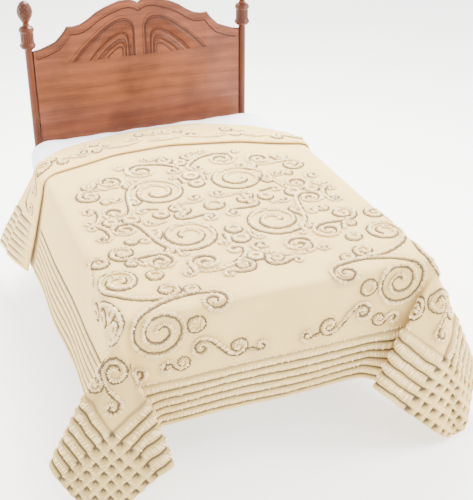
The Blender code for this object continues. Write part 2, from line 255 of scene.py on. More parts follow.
def startMaterial(name, roughness, colour):
    mat = bpy.data.materials.new(name)
    mat.use_nodes = True
    shader = mat.node_tree.nodes["Principled BSDF"]
    shader.inputs["Roughness"].default_value = roughness
    shader.inputs["Base Color"].default_value = (*colour, 1)
    mat.diffuse_color = (*colour, 1)
    return mat, mat.node_tree, shader


def addBump(tree, shader, height, strength, distance):
    bump = tree.nodes.new("ShaderNodeBump")
    bump.inputs["Strength"].default_value = strength
    bump.inputs["Distance"].default_value = distance
    wire(tree, height, bump.inputs["Height"])
    wire(tree, bump.outputs[0], shader.inputs["Normal"])


def placeGroup(tree, group, values):
    node = tree.nodes.new("ShaderNodeGroup")
    node.node_tree = group
    for label, value in values.items():
        if isinstance(value, (int, float, tuple)):
            node.inputs[label].default_value = value
        else:
            wire(tree, value, node.inputs[label])
    return node


def makePileGroup():
    # fuzz, fine weave and slow colour drift, for every cloth
    tree, start, end = newShaderGroup(
        "clothPile",
        [("Vector", "NodeSocketVector", None), ("Fuzz Scale", "NodeSocketFloat", 420.0),
         ("Weave Scale", "NodeSocketFloat", 900.0), ("Weave Share", "NodeSocketFloat", 0.4)],
        [("Height", "NodeSocketFloat"), ("Drift", "NodeSocketFloat"), ("Fleck", "NodeSocketFloat")])
    vector = start.outputs["Vector"]
    fuzz = tree.nodes.new("ShaderNodeTexNoise")
    fuzz.inputs["Detail"].default_value = 4.0
    fuzz.inputs["Roughness"].default_value = 0.65
    wire(tree, vector, fuzz.inputs["Vector"])
    wire(tree, start.outputs["Fuzz Scale"], fuzz.inputs["Scale"])
    parts = []
    for axis in ("X", "Y"):
        weave = tree.nodes.new("ShaderNodeTexWave")
        weave.bands_direction, weave.wave_profile = axis, "SIN"
        weave.inputs["Distortion"].default_value = 1.2
        weave.inputs["Detail"].default_value = 1.0
        wire(tree, vector, weave.inputs["Vector"])
        wire(tree, mathNode(tree, "DIVIDE", start.outputs["Weave Scale"], 6.283), weave.inputs["Scale"])
        parts.append(weave.outputs["Fac"])
    woven = mathNode(tree, "MULTIPLY", parts[0], parts[1])
    share = start.outputs["Weave Share"]
    height = mathNode(tree, "ADD", mathNode(tree, "MULTIPLY", woven, share),
                      mathNode(tree, "MULTIPLY", fuzz.outputs["Fac"], mathNode(tree, "SUBTRACT", 1.0, share)))
    wire(tree, height, end.inputs["Height"])
    wire(tree, noiseNode(tree, vector, 3.2, 3.0, 0.55), end.inputs["Drift"])
    wire(tree, noiseNode(tree, vector, 160.0, 2.0, 0.6), end.inputs["Fleck"])
    return tree


def makeGrainGroup():
    # long streaks along Z, from broad figure to fine pores
    tree, start, end = newShaderGroup(
        "woodGrain",
        [("Vector", "NodeSocketVector", None), ("Figure", "NodeSocketFloat", 9.0), ("Pores", "NodeSocketFloat", 160.0)],
        [("Figure", "NodeSocketFloat"), ("Pores", "NodeSocketFloat"), ("Blotch", "NodeSocketFloat")])
    vector = start.outputs["Vector"]
    wave = tree.nodes.new("ShaderNodeTexWave")
    wave.bands_direction = "X"
    wave.inputs["Distortion"].default_value = 5.0
    wave.inputs["Detail"].default_value = 3.0
    wave.inputs["Detail Scale"].default_value = 1.4
    wire(tree, scaled(tree, vector, (1, 1, 0.18)), wave.inputs["Vector"])
    wire(tree, start.outputs["Figure"], wave.inputs["Scale"])
    wire(tree, wave.outputs["Fac"], end.inputs["Figure"])
    pores = tree.nodes.new("ShaderNodeTexNoise")
    pores.inputs["Detail"].default_value = 3.0
    wire(tree, scaled(tree, vector, (1, 1, 0.045)), pores.inputs["Vector"])
    wire(tree, start.outputs["Pores"], pores.inputs["Scale"])
    wire(tree, pores.outputs["Fac"], end.inputs["Pores"])
    wire(tree, noiseNode(tree, vector, 5.0, 3.0), end.inputs["Blotch"])
    return tree


pileGroup, grainGroup = makePileGroup(), makeGrainGroup()

clothShift = np.array([place["shiftX"], place["shiftY"], place["mattressTop"] + 0.0018])
chenilleLook = {"cloth": (0.765, 0.548, 0.202), "shade": (0.665, 0.458, 0.155), "groove": (0.095, 0.068, 0.038),
                "tuft": (0.94, 0.75, 0.42), "root": (0.50, 0.35, 0.165), "rootFrom": 0.05,
                "rootTo": 0.5, "foldShade": (0.55, 0.50, 0.43), "roughness": 0.93, "sheen": 0.05}


def chenilleMaterial(name, look, tufted):
    mat, tree, shader = startMaterial(name, look["roughness"], look["cloth"])
    shader.inputs["Sheen Weight"].default_value = look["sheen"]
    shader.inputs["Sheen Roughness"].default_value = 0.6
    shader.inputs["Specular IOR Level"].default_value = 0.2
    if tufted:
        coord = tree.nodes.new("ShaderNodeTexCoord").outputs["Object"]
    else:
        uv = tree.nodes.new("ShaderNodeUVMap")
        uv.uv_map = "flat"
        coord = uv.outputs[0]
    pile = placeGroup(tree, pileGroup, {"Vector": coord, "Fuzz Scale": 520.0 if tufted else 300.0,
                                        "Weave Scale": 1500.0, "Weave Share": 0.0 if tufted else 0.35})
    drift = mathNode(tree, "MULTIPLY", mathNode(tree, "SUBTRACT", pile.outputs["Drift"], 0.38, True), 1.6, True)
    base = mixColours(tree, drift, look["tuft"] if tufted else look["cloth"], look["cloth"] if tufted else look["shade"])
    fleck = mathNode(tree, "MULTIPLY", mathNode(tree, "SUBTRACT", pile.outputs["Fleck"], 0.45, True), 1.1, True)
    base = mixColours(tree, fleck, base, look["shade"])
    if tufted:
        height = pile.outputs["Height"]
        # painted light on every tuft: it darkens towards its foot as painted shade, and its cream is lighter than the
        # cloth as a painted highlight
        tip = tree.nodes.new("ShaderNodeAttribute")
        tip.attribute_name = "tip"
        rootShading = mathNode(tree, "MULTIPLY", mathNode(tree, "SUBTRACT", tip.outputs["Fac"], look["rootFrom"], True),
                          1 / (look["rootTo"] - look["rootFrom"]), True)
        wire(tree, mixColours(tree, rootShading, look["root"], base), shader.inputs["Base Color"])
        addBump(tree, shader, height, 0.7, 0.002)
        return mat
    # painted shade: a per-vertex amount darkens the cloth towards a deep brown in the rib grooves, in the sunk lattice
    # squares, on the corner flaps and beside the cords
    ribs = tree.nodes.new("ShaderNodeAttribute")
    ribs.attribute_name = "groove"
    # painted shade: the hidden rows of the head fold are tinted a duller, darker grey-brown, where the fold's crevice
    # lies in shade
    foldShade = tree.nodes.new("ShaderNodeAttribute")
    foldShade.attribute_name = "foldShadeMask"
    base = mixColours(tree, foldShade.outputs["Fac"], base, look["foldShade"])
    wire(tree, mixColours(tree, ribs.outputs["Fac"], base, look["groove"]), shader.inputs["Base Color"])
    # short cross ticks of pile on the ribs
    pileShare = tree.nodes.new("ShaderNodeAttribute")
    pileShare.attribute_name = "pile"
    ticksA = noiseNode(tree, scaled(tree, coord, (45, 260, 1)), 1.0, 2.0, 0.6)
    ticksB = noiseNode(tree, scaled(tree, coord, (260, 45, 1)), 1.0, 2.0, 0.6)
    turned = tree.nodes.new("ShaderNodeAttribute")
    turned.attribute_name = "footwards"
    ticks = tree.nodes.new("ShaderNodeMix")
    wire(tree, turned.outputs["Fac"], ticks.inputs[0])
    wire(tree, ticksA, ticks.inputs[2])
    wire(tree, ticksB, ticks.inputs[3])
    raised = mathNode(tree, "MULTIPLY", ticks.outputs[0], pileShare.outputs["Fac"])
    height = mathNode(tree, "ADD", mathNode(tree, "MULTIPLY", pile.outputs["Height"], 0.25), raised)
    addBump(tree, shader, height, 0.75, 0.004)
    return mat


clothMaterial = chenilleMaterial("chenilleCloth", chenilleLook, False)
tuftMaterial = chenilleMaterial("chenilleTufts", chenilleLook, True)
# painted shadow: a row of small near-black tufts beside every cord stands in for the shadow the cord casts
cordShadowMaterial = chenilleMaterial("chenilleLines", {**chenilleLook, "tuft": (0.125, 0.086, 0.048), "cloth": (0.085, 0.057, 0.032),
                                                    "root": (0.085, 0.057, 0.032)},
                                True)

# ---- the bedspread's drape, in the maker's two directions: u across the cloth, s along it

spread = {
    "halfWidth": 0.685, "thick": 0.0024, "gap": 0.0006, "ribStart": 0.31, "ribPitch": 0.0515,
    "sideRibs": 7, "footRibs": 6, "ribHeight": 0.0105, "soften": 0.042, "apex": 0.15,
    "lean": math.radians(4.7), "tuck": math.radians(15.5), "tuckFrom": 0.295,
    "tuckFade": {-1: (0.50, 0.66), 1: (0.40, 0.54)}, "foldRadius": 0.0042,
    "smoothStep": 0.0125, "topStep": 0.0185, "seed": 5,
}
sideDrop = spread["ribStart"] + (spread["sideRibs"] - 0.5) * spread["ribPitch"]
footDrop = spread["ribStart"] + (spread["footRibs"] - 0.5) * spread["ribPitch"]
cornerRadius = 2.5 * spread["ribPitch"]

# each foot corner hangs as a cone; its rulings go out to the side and out to the foot
corners = {
    -1: {"foot": math.radians(3.0), "side": math.radians(5.0),
         "rulings": [(-0.25, 0.27), (-0.10, 0.21), (0.15, 0.14), (0.37, 0.05), (0.43, -0.08)]},
    1: {"foot": math.radians(13.2), "side": math.radians(5.0),
        "rulings": [(-0.215, 0.06), (-0.53, 0.18), (-0.07, 0.271), (0.08, 0.217), (0.137, 0.252),
                    (0.40, -0.02), (0.24, -0.11)]},
}

# the folded head end: where the upper layer's fold, the turn below it and the cloth's end lie
foldAt = [(-1.33, 1.64), (-0.70, 1.30), (-0.65, 1.38), (-0.43, 1.45), (-0.29, 1.50), (0.0, 1.52),
          (0.37, 1.43), (0.51, 1.35), (0.68, 1.28), (1.33, 1.42)]
turnAt = [(-1.33, 1.86), (-0.73, 1.46), (-0.61, 1.55), (-0.43, 1.605), (-0.11, 1.595), (0.0, 1.58),
          (0.37, 1.49), (0.51, 1.41), (0.68, 1.34), (1.33, 1.50)]
endAt = [(-1.33, 2.02), (-0.71, 1.53), (-0.59, 1.63), (-0.51, 1.69), (-0.25, 1.76), (0.0, 1.78),
         (0.25, 1.76), (0.50, 1.62), (0.68, 1.44), (1.33, 1.60)]


def alongKnots(knots, u):
    xs, ys = zip(*knots)
    return sum(np.interp(u + d, xs, ys) for d in (-0.04, -0.02, 0.0, 0.02, 0.04)) / 5


def cornerCurve(side, steps=40):
    corner = corners[side]
    foot, edge, lean = corner["foot"], corner["side"], spread["lean"]
    points = [(-math.sin(foot), 0.0, math.cos(foot))]
    points += [(x, y, math.sqrt(1 - x * x - y * y)) for x, y in corner["rulings"]]
    points += [(math.sin(lean) * math.cos(edge), -math.sin(edge), math.cos(lean) * math.cos(edge))]
    points = np.array(points)
    points = np.vstack([2 * points[0] - points[1], points, 2 * points[-1] - points[-2]])
    rows = []
    for i in range(1, len(points) - 2):
        t = np.linspace(0, 1, steps, endpoint=False)[:, None]
        p0, p1, p2, p3 = points[i - 1:i + 3]
        rows.append(0.5 * (2 * p1 + (p2 - p0) * t + (2 * p0 - 5 * p1 + 4 * p2 - p3) * t ** 2
                           + (3 * p1 - p0 - 3 * p2 + p3) * t ** 3))
    rows = np.vstack(rows + [points[-2:-1]])
    rows /= np.linalg.norm(rows, axis=1)[:, None]
    turn = np.arccos(np.clip((rows[1:] * rows[:-1]).sum(1), -1, 1))
    return rows, np.concatenate([[0], np.cumsum(turn)])


cornerCurves = {side: cornerCurve(side) for side in corners}


def sharpDrape(u, s):
    half, lean, apex = spread["halfWidth"], spread["lean"], spread["apex"]
    side = np.where(u < 0, -1.0, 1.0)
    a, b = np.abs(u) - half, -s
    x = np.where(a > 0, side * (half + a * math.sin(lean)), u)
    y = np.where(b > 0, 0.0, s)
    z = np.where(a > 0, -a * math.cos(lean), np.where(b > 0, -b, 0.0))
    phi, rho = np.arctan2(a, b), np.hypot(a, b)
    for sign, (rows, turn) in cornerCurves.items():
        foot, edge = corners[sign]["foot"], corners[sign]["side"]
        cone = (side == sign) & ((a > 0) | (b > 0)) & (phi > -foot) & (phi < math.pi / 2 + edge)
        at = (phi + foot) / (math.pi / 2 + foot + edge) * turn[-1]
        out, forward, down = (np.interp(at, turn, rows[:, k]) for k in range(3))
        plain = np.clip((apex - rho) / (apex - 0.03), 0, 1)
        between = np.clip(phi, 0, math.pi / 2)
        bulge = 0.14 * np.sin(2 * between)
        out = out + plain * (np.sin(np.minimum(phi, 0)) + bulge + math.sin(lean) * np.sin(between) - out)
        forward = forward + plain * (bulge + np.cos(np.maximum(phi, math.pi / 2)) - forward)
        x = np.where(cone, sign * (half + rho * out), x)
        y = np.where(cone, -rho * forward, y)
        z = np.where(cone, -rho * down, z)
    return np.stack([x, y, z], -1)


def softDrape(u, s):
    offsets = [(-1.0, 1.0), (-0.5, 2.0), (0.0, 3.0), (0.5, 2.0), (1.0, 1.0)]
    total, weight = 0.0, 0.0
    for du, wu in offsets:
        for ds, ws in offsets:
            total = total + wu * ws * sharpDrape(u + du * spread["soften"], s + ds * spread["soften"])
            weight += wu * ws
    point = total / weight
    begin, stop = (np.where(u < 0, spread["tuckFade"][-1][k], spread["tuckFade"][1][k]) for k in (0, 1))
    centre = np.clip((stop - np.abs(u)) / (stop - begin), 0, 1) * (s < 0.0)
    centre = centre * centre * (3 - 2 * centre)
    below = np.maximum(0, -spread["tuckFrom"] - point[..., 2])
    angle = spread["tuck"] * centre * np.clip(below / 0.03, 0, 1)
    point[..., 1] += below * np.sin(angle)
    point[..., 2] += below * (1 - np.cos(angle))
    return point


def dropWave(u, s):
    a, b = np.abs(u) - spread["halfWidth"], -s
    side = np.clip(a / sideDrop, 0, 1) * np.clip(s / 0.4, 0, 1)
    foot = np.clip(b / footDrop, 0, 1) * np.clip(-a / 0.3, 0, 1)
    return side * 0.006 * np.sin(9.0 * s + 2.0 * np.sign(u)), foot * 0.005 * np.sin(11.0 * u + 0.6)


# creases running out from each foot corner: angle from the foot side, half width, height, begins at
creases = {-1: [(14, 6, 0.010, 0.10), (28, 5, -0.012, 0.16), (43, 7, 0.019, 0.18), (60, 6, -0.013, 0.18), (76, 6, 0.008, 0.2)],
           1: [(14, 6, 0.007, 0.06), (30, 5, -0.007, 0.08), (46, 8, 0.008, 0.06), (62, 6, -0.006, 0.12), (76, 6, 0.004, 0.1)]}


def cornerCrease(u, s):
    a, b = np.abs(u) - spread["halfWidth"], -s
    phi, rho = np.degrees(np.arctan2(a, b)), np.hypot(a, b)
    total = np.zeros_like(rho)
    for side, lines in creases.items():
        for angle, width, height, begins in lines:
            bent = angle + 5 * np.sin(9 * rho + angle)
            shape = np.exp(-((phi - bent) / width) ** 2) * np.clip((rho - begins) / 0.12, 0, 1)
            total = total + np.where(np.sign(u) == side, shape * height * np.clip((0.95 - rho) / 0.3, 0.3, 1), 0)
    return np.where((a > 0) & (b > 0), total, 0.0)


def slowSwell(u, s):
    # the top never lies dead flat: a few millimetres of slow swell, and none downwards
    draw = np.random.default_rng(spread["seed"])
    total = 0.0
    for k in range(14):
        heading, length = draw.uniform(0, math.pi), draw.uniform(0.16, 0.7)
        phase = draw.uniform(0, 2 * math.pi)
        wave = np.sin((u * math.cos(heading) + s * math.sin(heading)) * 2 * math.pi / length + phase)
        total = total + wave * length
    return 0.0028 * (1 + total / 2.6)


def clothPoint(u, s):
    point = softDrape(u, s)
    outX, outY = dropWave(u, s)
    crease = cornerCrease(u, s)
    point[..., 0] += np.sign(u) * (outX + 0.7 * crease)
    point[..., 1] -= outY + 0.7 * crease
    return point


def clothNormal(u, s, step=0.004):
    across = clothPoint(u + step, s) - clothPoint(u - step, s)
    ahead = clothPoint(u, s + step) - clothPoint(u, s - step)
    normal = np.cross(across, ahead)
    return normal / np.maximum(np.linalg.norm(normal, axis=-1), 1e-12)[..., None]


ribFractions = [0.0, 0.07, 0.18, 0.34, 0.5, 0.66, 0.82, 0.93, 1.0]
ribProfile = [0.0, 0.5, 0.86, 0.98, 1.0, 0.98, 0.86, 0.5, 0.0]
# painted shade across each rib, darkest in the grooves between them
ribShade = [1.0, 0.88, 0.34, 0.03, 0.0, 0.0, 0.05, 0.35, 1.0]


crossedRib = 0.26


def ribWander(v, depth, seed):
    # how far a groove strays sideways at v along its rib; each groove strays in its own way
    t = np.maximum((depth - spread["ribStart"]) / spread["ribPitch"], 0)
    lower = np.floor(t)

    def stray(k):
        return (0.055 * np.sin(9.0 * v + seed + 0.9 * k) + 0.03 * np.sin(31.0 * v + 2.1 * seed + 2.3 * k)
                + 0.018 * np.sin(83.0 * v + seed + 1.3 * k))
    mixed = stray(lower) + (stray(lower + 1) - stray(lower)) * (t - lower)
    return np.where(depth > spread["ribStart"] - 0.001, mixed * spread["ribPitch"], 0.0)


def strayed(u0, s0):
    """the grid's own u and s moved so that its lines follow the wandering grooves"""
    a, b = np.abs(u0) - spread["halfWidth"], -s0
    straight = np.minimum(s0, alongKnots(foldAt, u0) - 0.05)
    u = u0 + np.sign(u0) * ribWander(straight, a, 1.0 + np.sign(u0))
    s = s0 - ribWander(u0, b, 4.0)
    return u, s


def ribRelief(u, s):
    """height 0..1, painted shade 0..1 and whether the rib runs across the foot, from the grid's own u and s"""
    half, begin, pitch = spread["halfWidth"], spread["ribStart"], spread["ribPitch"]
    sideT, footT = (np.abs(u) - half - begin) / pitch, (-s - begin) / pitch
    onSide, onFoot = sideT > -0.01, footT > -0.01
    sidePart, footPart = (t + 1e-6 - np.floor(t + 1e-6) for t in (sideT, footT))
    sideRib, footRib = (np.interp(p, ribFractions, ribProfile) for p in (sidePart, footPart))
    sideShade, footShade = (np.interp(p, ribFractions, ribShade) for p in (sidePart, footPart))
    # where both run they cross as cords, with a sunk square between, its painted shade darkest along its two edges
    # nearest the mattress
    sunkSide, sunkFoot = (np.interp(p, [0, 0.34, 0.5, 0.66, 0.93, 1], [1, 1, 0.5, 0, 0, 1]) for p in (sidePart, footPart))
    edgeSide, edgeFoot = (np.interp(p, [0, 0.07, 0.18, 0.34, 0.5, 0.66, 0.93, 1], [1, 1, 0.95, 0.42, 0.28, 0, 0, 1]) for p in (sidePart, footPart))
    cell = 1 - sunkSide * sunkFoot
    cellShade = np.maximum(edgeSide * sunkFoot, edgeFoot * sunkSide)
    height, shade = np.where(onSide, sideRib, 0.0), np.where(onSide, sideShade, 0.0)
    height, shade = np.where(onFoot, footRib, height), np.where(onFoot, footShade, shade)
    first = (np.abs(sideT) < 0.25) & ~onFoot & (s < 0.02) | (np.abs(footT) < 0.25) & ~onSide
    shade = np.where(first, 0.6 * shade, shade)
    both = onSide & onFoot
    return np.where(both, cell, height), np.where(both, cellShade, shade), np.where(onFoot, 1.0, 0.0)


def wallEase(u, s):
    # the ribs lie flatter along the sides of the bed than at its foot
    return np.where(np.abs(u) > spread["halfWidth"], 1 - 0.5 * np.clip(s / 0.15, 0, 1), 1.0)


def foldFade(u, s):
    share = np.where(u < 0, corners[-1]["foot"], corners[1]["foot"])
    a, b = np.abs(u) - spread["halfWidth"], -s
    apart = np.hypot(a, b) * np.abs(np.arctan2(a, b) + share)
    return np.where(b > 0, np.clip((apart - 0.015) / 0.03, 0.25, 1), 1.0)


def ribLines(count):
    # grid lines over the ribs, close together at each groove; the last rib is a half one
    lines = [spread["ribStart"] + spread["ribPitch"] * (k + f) for k in range(count) for f in ribFractions[:-1]]
    return [v for v in lines if v < spread["ribStart"] + spread["ribPitch"] * (count - 0.49)]


def clothColumns():
    smooth = np.arange(0, spread["ribStart"] - 0.006, spread["smoothStep"]).tolist()
    drop = sorted(smooth + ribLines(spread["sideRibs"]), reverse=True)
    top = np.linspace(0, spread["halfWidth"], int(spread["halfWidth"] / spread["topStep"]) + 1)[1:].tolist()
    half = [spread["halfWidth"] + d for d in drop] + [spread["halfWidth"] - d for d in top[:-1]]
    return np.array([-v for v in half] + [0.0] + half[::-1])


def clothRows(u):
    """rows as (s, stack height, ribbed share, flare), each an array over u, from foot to head"""
    r = spread["foldRadius"]
    smooth = np.arange(0, spread["ribStart"] - 0.006, spread["smoothStep"]).tolist()
    one = np.ones_like(u)
    rows = [(-d * one, 0, 1, 0) for d in sorted(smooth + ribLines(spread["footRibs"]), reverse=True)]
    fold, turn, end = alongKnots(foldAt, u), alongKnots(turnAt, u), alongKnots(endAt, u)
    count = int(1.3 / spread["topStep"])
    rows += [((fold - 0.05) * k / count, 0, 1, 0) for k in range(1, count + 1)]
    rows += [(fold - 0.03, 0, 0.6, 0), (fold - 0.012, 0, 0, 0), ((fold + turn) / 2, 0, 0, 0.001), (turn - r, 0, 0, 0.002)]
    for angle in range(20, 180, 20):
        t = math.radians(angle)
        rows.append((turn - r + r * math.sin(t), r * (1 - math.cos(t)), 0, 0.004))
    rows += [(turn - r, 2 * r, 0, 0.006), ((turn + fold) / 2, 2 * r, 0, 0.012), (fold + r, 2 * r, 0, 0.018)]
    for angle in range(20, 180, 20):
        t = math.radians(angle)
        rows.append((fold + r - r * math.sin(t), 2 * r + r * (1 - math.cos(t)), 0, 0.02))
    rows.append((fold + r, 4 * r, 0, 0.022))
    middle = (fold + turn) / 2 + 0.01
    for k in range(1, 4):
        rows.append((fold + r + (middle - fold - r) * k / 3, 4 * r, k / 3, 0.022 + 0.03 * k / 3))
    for k in range(1, 5):
        rows.append((middle + (turn + 0.004 - middle) * k / 4, 4 * r, 1, 0.052 + 0.026 * k / 4))
    for k in range(1, 5):
        eased = 0.5 - 0.5 * math.cos(math.pi * k / 4)
        rows.append((turn + 0.004 + 0.031 * k / 4, 4 * r - 2.8 * r * eased, 1, 0.078 + 0.007 * k / 4))
    last = turn + 0.035
    for k in range(1, 9):
        rows.append((last + (end - last) * k / 8, 1.2 * r * max(0, 1 - k / 4), 1, 0.085 + 0.03 * k / 8))
    return rows


def roundCorners(u, s):
    a, b = np.abs(u) - spread["halfWidth"], -s
    p = (a - (sideDrop - cornerRadius)) / cornerRadius
    q = (b - (footDrop - cornerRadius)) / cornerRadius
    inside = (p > 0) & (q > 0)
    p2 = np.where(inside, p * np.sqrt(np.clip(1 - q * q / 2, 0, 1)), p)
    q2 = np.where(inside, q * np.sqrt(np.clip(1 - p * p / 2, 0, 1)), q)
    newU = np.sign(u) * (spread["halfWidth"] + sideDrop - cornerRadius + p2 * cornerRadius)
    newS = -(footDrop - cornerRadius + q2 * cornerRadius)
    return np.where(inside, newU, u), np.where(inside, newS, s)


def vertexNormals(grid):
    d1, d2 = grid[1:, 1:] - grid[:-1, :-1], grid[1:, :-1] - grid[:-1, 1:]
    face = np.cross(d1, d2)
    total = np.zeros_like(grid)
    for rows in (slice(1, None), slice(None, -1)):
        for columns in (slice(1, None), slice(None, -1)):
            total[rows, columns] += face
    return total / np.maximum(np.linalg.norm(total, axis=-1), 1e-12)[..., None]


def layCloth():
    u0 = clothColumns()
    points, relief, groove, turned, flat, foldShadeMask = [], [], [], [], [], []
    travelled = np.zeros_like(u0)
    before = None
    for s, stack, ribbed, flare in clothRows(u0):
        u, sr = strayed(*roundCorners(u0, s))
        point = clothPoint(u, sr)
        a = np.abs(u) - spread["halfWidth"]
        lift = slowSwell(u, sr) * np.clip(-a / 0.15, 0, 1) * np.clip(sr / 0.2, 0, 1) * ribbed
        normal = clothNormal(u, sr)
        normal[:, 1] = np.where(sr > 0, 0, normal[:, 1])
        normal /= np.linalg.norm(normal, axis=1)[:, None]
        point = point + normal * (np.where(sr > 0, stack, 0) + lift)[:, None]
        depth = np.clip(a / sideDrop, 0, 1)
        point[:, 0] += np.sign(u) * flare * depth * (sr > 0)
        height, line, foot = ribRelief(u0, s)
        height = height * (1 + 0.06 * np.sin(71.0 * u0 + 131.0 * s) + 0.05 * np.sin(173.0 * u0 - 97.0 * s))
        fade = foldFade(u, sr) * ribbed
        if before is not None:
            travelled = travelled + np.linalg.norm(point - before, axis=1)
        before = point
        points.append(point)
        relief.append(height * fade * wallEase(u, sr))
        # painted shade: the corner flaps are darkened, the left one most, and more in the valleys of the creases
        reach = np.clip(np.minimum(a, -sr) / 0.12, 0, 1)
        flapShade = np.where(u < 0, 0.2, 0.05) * reach + 0.15 * np.clip(-cornerCrease(u, sr) / 0.012, 0, 1)
        # keeps the darker of the rib grooves' painted shade and the flaps' painted shade
        groove.append(np.maximum(line * fade, flapShade))
        # marks the hidden rows of the head fold for their painted shade
        foldShadeMask.append(np.full(len(u0), float(bool(flare and stack < 2.01 * spread["foldRadius"] and not ribbed))))
        turned.append(foot)
        flat.append(np.stack([u, np.where(s < 0, sr, travelled - footDrop)], -1))
    return tuple(np.array(x) for x in (points, relief, groove, turned, flat, foldShadeMask))


surface = {}


def buildSpread():
    grid, relief, groove, turned, flat, foldShadeMask = layCloth()
    normal = vertexNormals(grid)
    if normal[len(grid) // 2, grid.shape[1] // 2, 2] < 0:
        normal = -normal
    grid[..., 0] += place["shiftX"]
    grid[..., 1] += place["shiftY"]
    grid[..., 2] += place["mattressTop"] + spread["gap"] + spread["thick"] / 2
    outer = grid + normal * (spread["thick"] / 2 + relief * spread["ribHeight"])[..., None]
    inner = grid - normal * (spread["thick"] / 2)
    rows, columns = relief.shape
    surface.update(outer=outer, normal=normal, u=clothColumns(), flat=flat, groove=groove, headRow=rows - 46)
    index = np.arange(rows * columns).reshape(rows, columns)
    a, b, c, d = index[:-1, :-1], index[:-1, 1:], index[1:, 1:], index[1:, :-1]
    top = np.stack([a, b, c, d], -1).reshape(-1, 4)
    under = rows * columns
    rim = list(index[0]) + list(index[1:, -1]) + list(index[-1, -2::-1]) + list(index[-2:0:-1, 0])
    edge = [(rim[(k + 1) % len(rim)], v, under + v, under + rim[(k + 1) % len(rim)]) for k, v in enumerate(rim)]
    faces = top.tolist() + (under + top[:, ::-1]).tolist() + edge
    points = np.concatenate([outer.reshape(-1, 3), inner.reshape(-1, 3)])
    uv = np.concatenate([flat.reshape(-1, 2)] * 2)
    obj = newObject("chenilleSpread", points, faces, clothMaterial, uv)
    isPile = (relief > 0.02).astype(float)
    for name, values in (("groove", groove), ("pile", isPile), ("footwards", turned), ("foldShadeMask", foldShadeMask)):
        setAttribute(obj, name, "FLOAT", np.concatenate([values.ravel(), 0 * values.ravel()]))
    area = 2 * spread["halfWidth"] * 0.02
    sizes = np.linalg.norm(np.cross(grid[1:, 1:] - grid[:-1, :-1], grid[1:, :-1] - grid[:-1, 1:]), axis=-1) / 2
    print("stage: spread", rows, columns, "area", round(float(sizes.sum()), 3), "length at the middle",
          round(float(flat[-1, columns // 2, 1] + footDrop), 3))
    return obj, float(sizes.sum())


spreadPiece, spreadArea = buildSpread()
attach(spreadPiece, "root")
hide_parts("bedspread")

# ---- chenille cords: scrolls tufted onto the cloth

# the last five sizes are for the painted shadow line beside each cord
cord = {"spacing": 0.0094, "length": 0.0098, "width": 0.0044, "height": 0.0112, "uneven": 0.3, "jitter": 0.0014,
        "shadowSpacing": 0.0046, "shadowOffset": 0.0128, "shadowLength": 0.0047, "shadowWidth": 0.0048, "shadowHeight": 0.0024}


def volute(x, y, r, turns, leave, hand, inner=0.16, steps=90):
    # from the bud outwards; it leaves its rim at angle "leave", and hand 1 turns anticlockwise
    t = np.linspace(0, 1, steps)
    radius = r * (inner + (1 - inner) * t ** 0.85)
    angle = leave - hand * 2 * math.pi * turns * (1 - t)
    return np.stack([x + radius * np.cos(angle), y + radius * np.sin(angle)], -1)


def hermite(p0, d0, p1, d1, steps=56):
    span = np.linalg.norm(p1 - p0)
    d0, d1 = d0 / np.linalg.norm(d0) * span, d1 / np.linalg.norm(d1) * span
    t = np.linspace(0, 1, steps)[1:-1, None]
    return ((2 * t ** 3 - 3 * t ** 2 + 1) * p0 + (t ** 3 - 2 * t ** 2 + t) * d0
            + (-2 * t ** 3 + 3 * t ** 2) * p1 + (t ** 3 - t ** 2) * d1)


def scroll(x0, y0, r0, turns0, x1, y1, r1, turns1, kind, hand, bow=0.0):
    """two volutes joined by one sweep: S turns over between them, C keeps bending the same way"""
    heading, far = math.atan2(y1 - y0, x1 - x0), math.hypot(x1 - x0, y1 - y0)
    reach = r0 + r1 if kind == "S" else r0 - r1
    tilt = math.asin(max(-0.95, min(0.95, reach / far)))
    leave0 = heading - hand * (math.pi / 2 - tilt + bow)
    if kind == "S":
        leave1 = heading + math.pi - hand * (math.pi / 2 - tilt + bow)
    else:
        leave1 = heading - hand * (math.pi / 2 - tilt - bow)
    a = volute(x0, y0, r0, turns0, leave0, hand)
    b = volute(x1, y1, r1, turns1, leave1, hand if kind == "S" else -hand)
    return np.vstack([a, hermite(a[-1], a[-1] - a[-2], b[-1], b[-2] - b[-1]), b[::-1]])


def tendril(x, y, r, turns, endX, endY, hand, bow=0.0, curl=0.0):
    # one volute whose tail runs out to a point
    heading, far = math.atan2(endY - y, endX - x), math.hypot(endX - x, endY - y)
    tilt = math.asin(max(-0.95, min(0.95, r / far)))
    a = volute(x, y, r, turns, heading - hand * (math.pi / 2 - tilt + bow), hand)
    out = np.array([math.cos(heading + curl), math.sin(heading + curl)])
    return np.vstack([a, hermite(a[-1], a[-1] - a[-2], np.array([endX, endY]), out)])


def ring(x, y, r, count=36):
    # clockwise, which leaves its painted shadow line outside
    t = np.linspace(2 * math.pi, 0, count)
    return np.stack([x + r * np.cos(t), y + r * np.sin(t)], -1)


def drawn(design):
    return ([scroll(*v) for v in design["scrolls"]] + [tendril(*v) for v in design["tendrils"]]
            + [ring(*v) for v in design["rings"]])


def mirrored(lines, acrossY=False):
    # a mirrored line runs the other way, so that its painted shadow line keeps to the same side of the cord
    made = list(lines) + [line[::-1] * np.array([-1, 1]) for line in lines]
    return made + [line[::-1] * np.array([1, -1]) for line in made] if acrossY else made


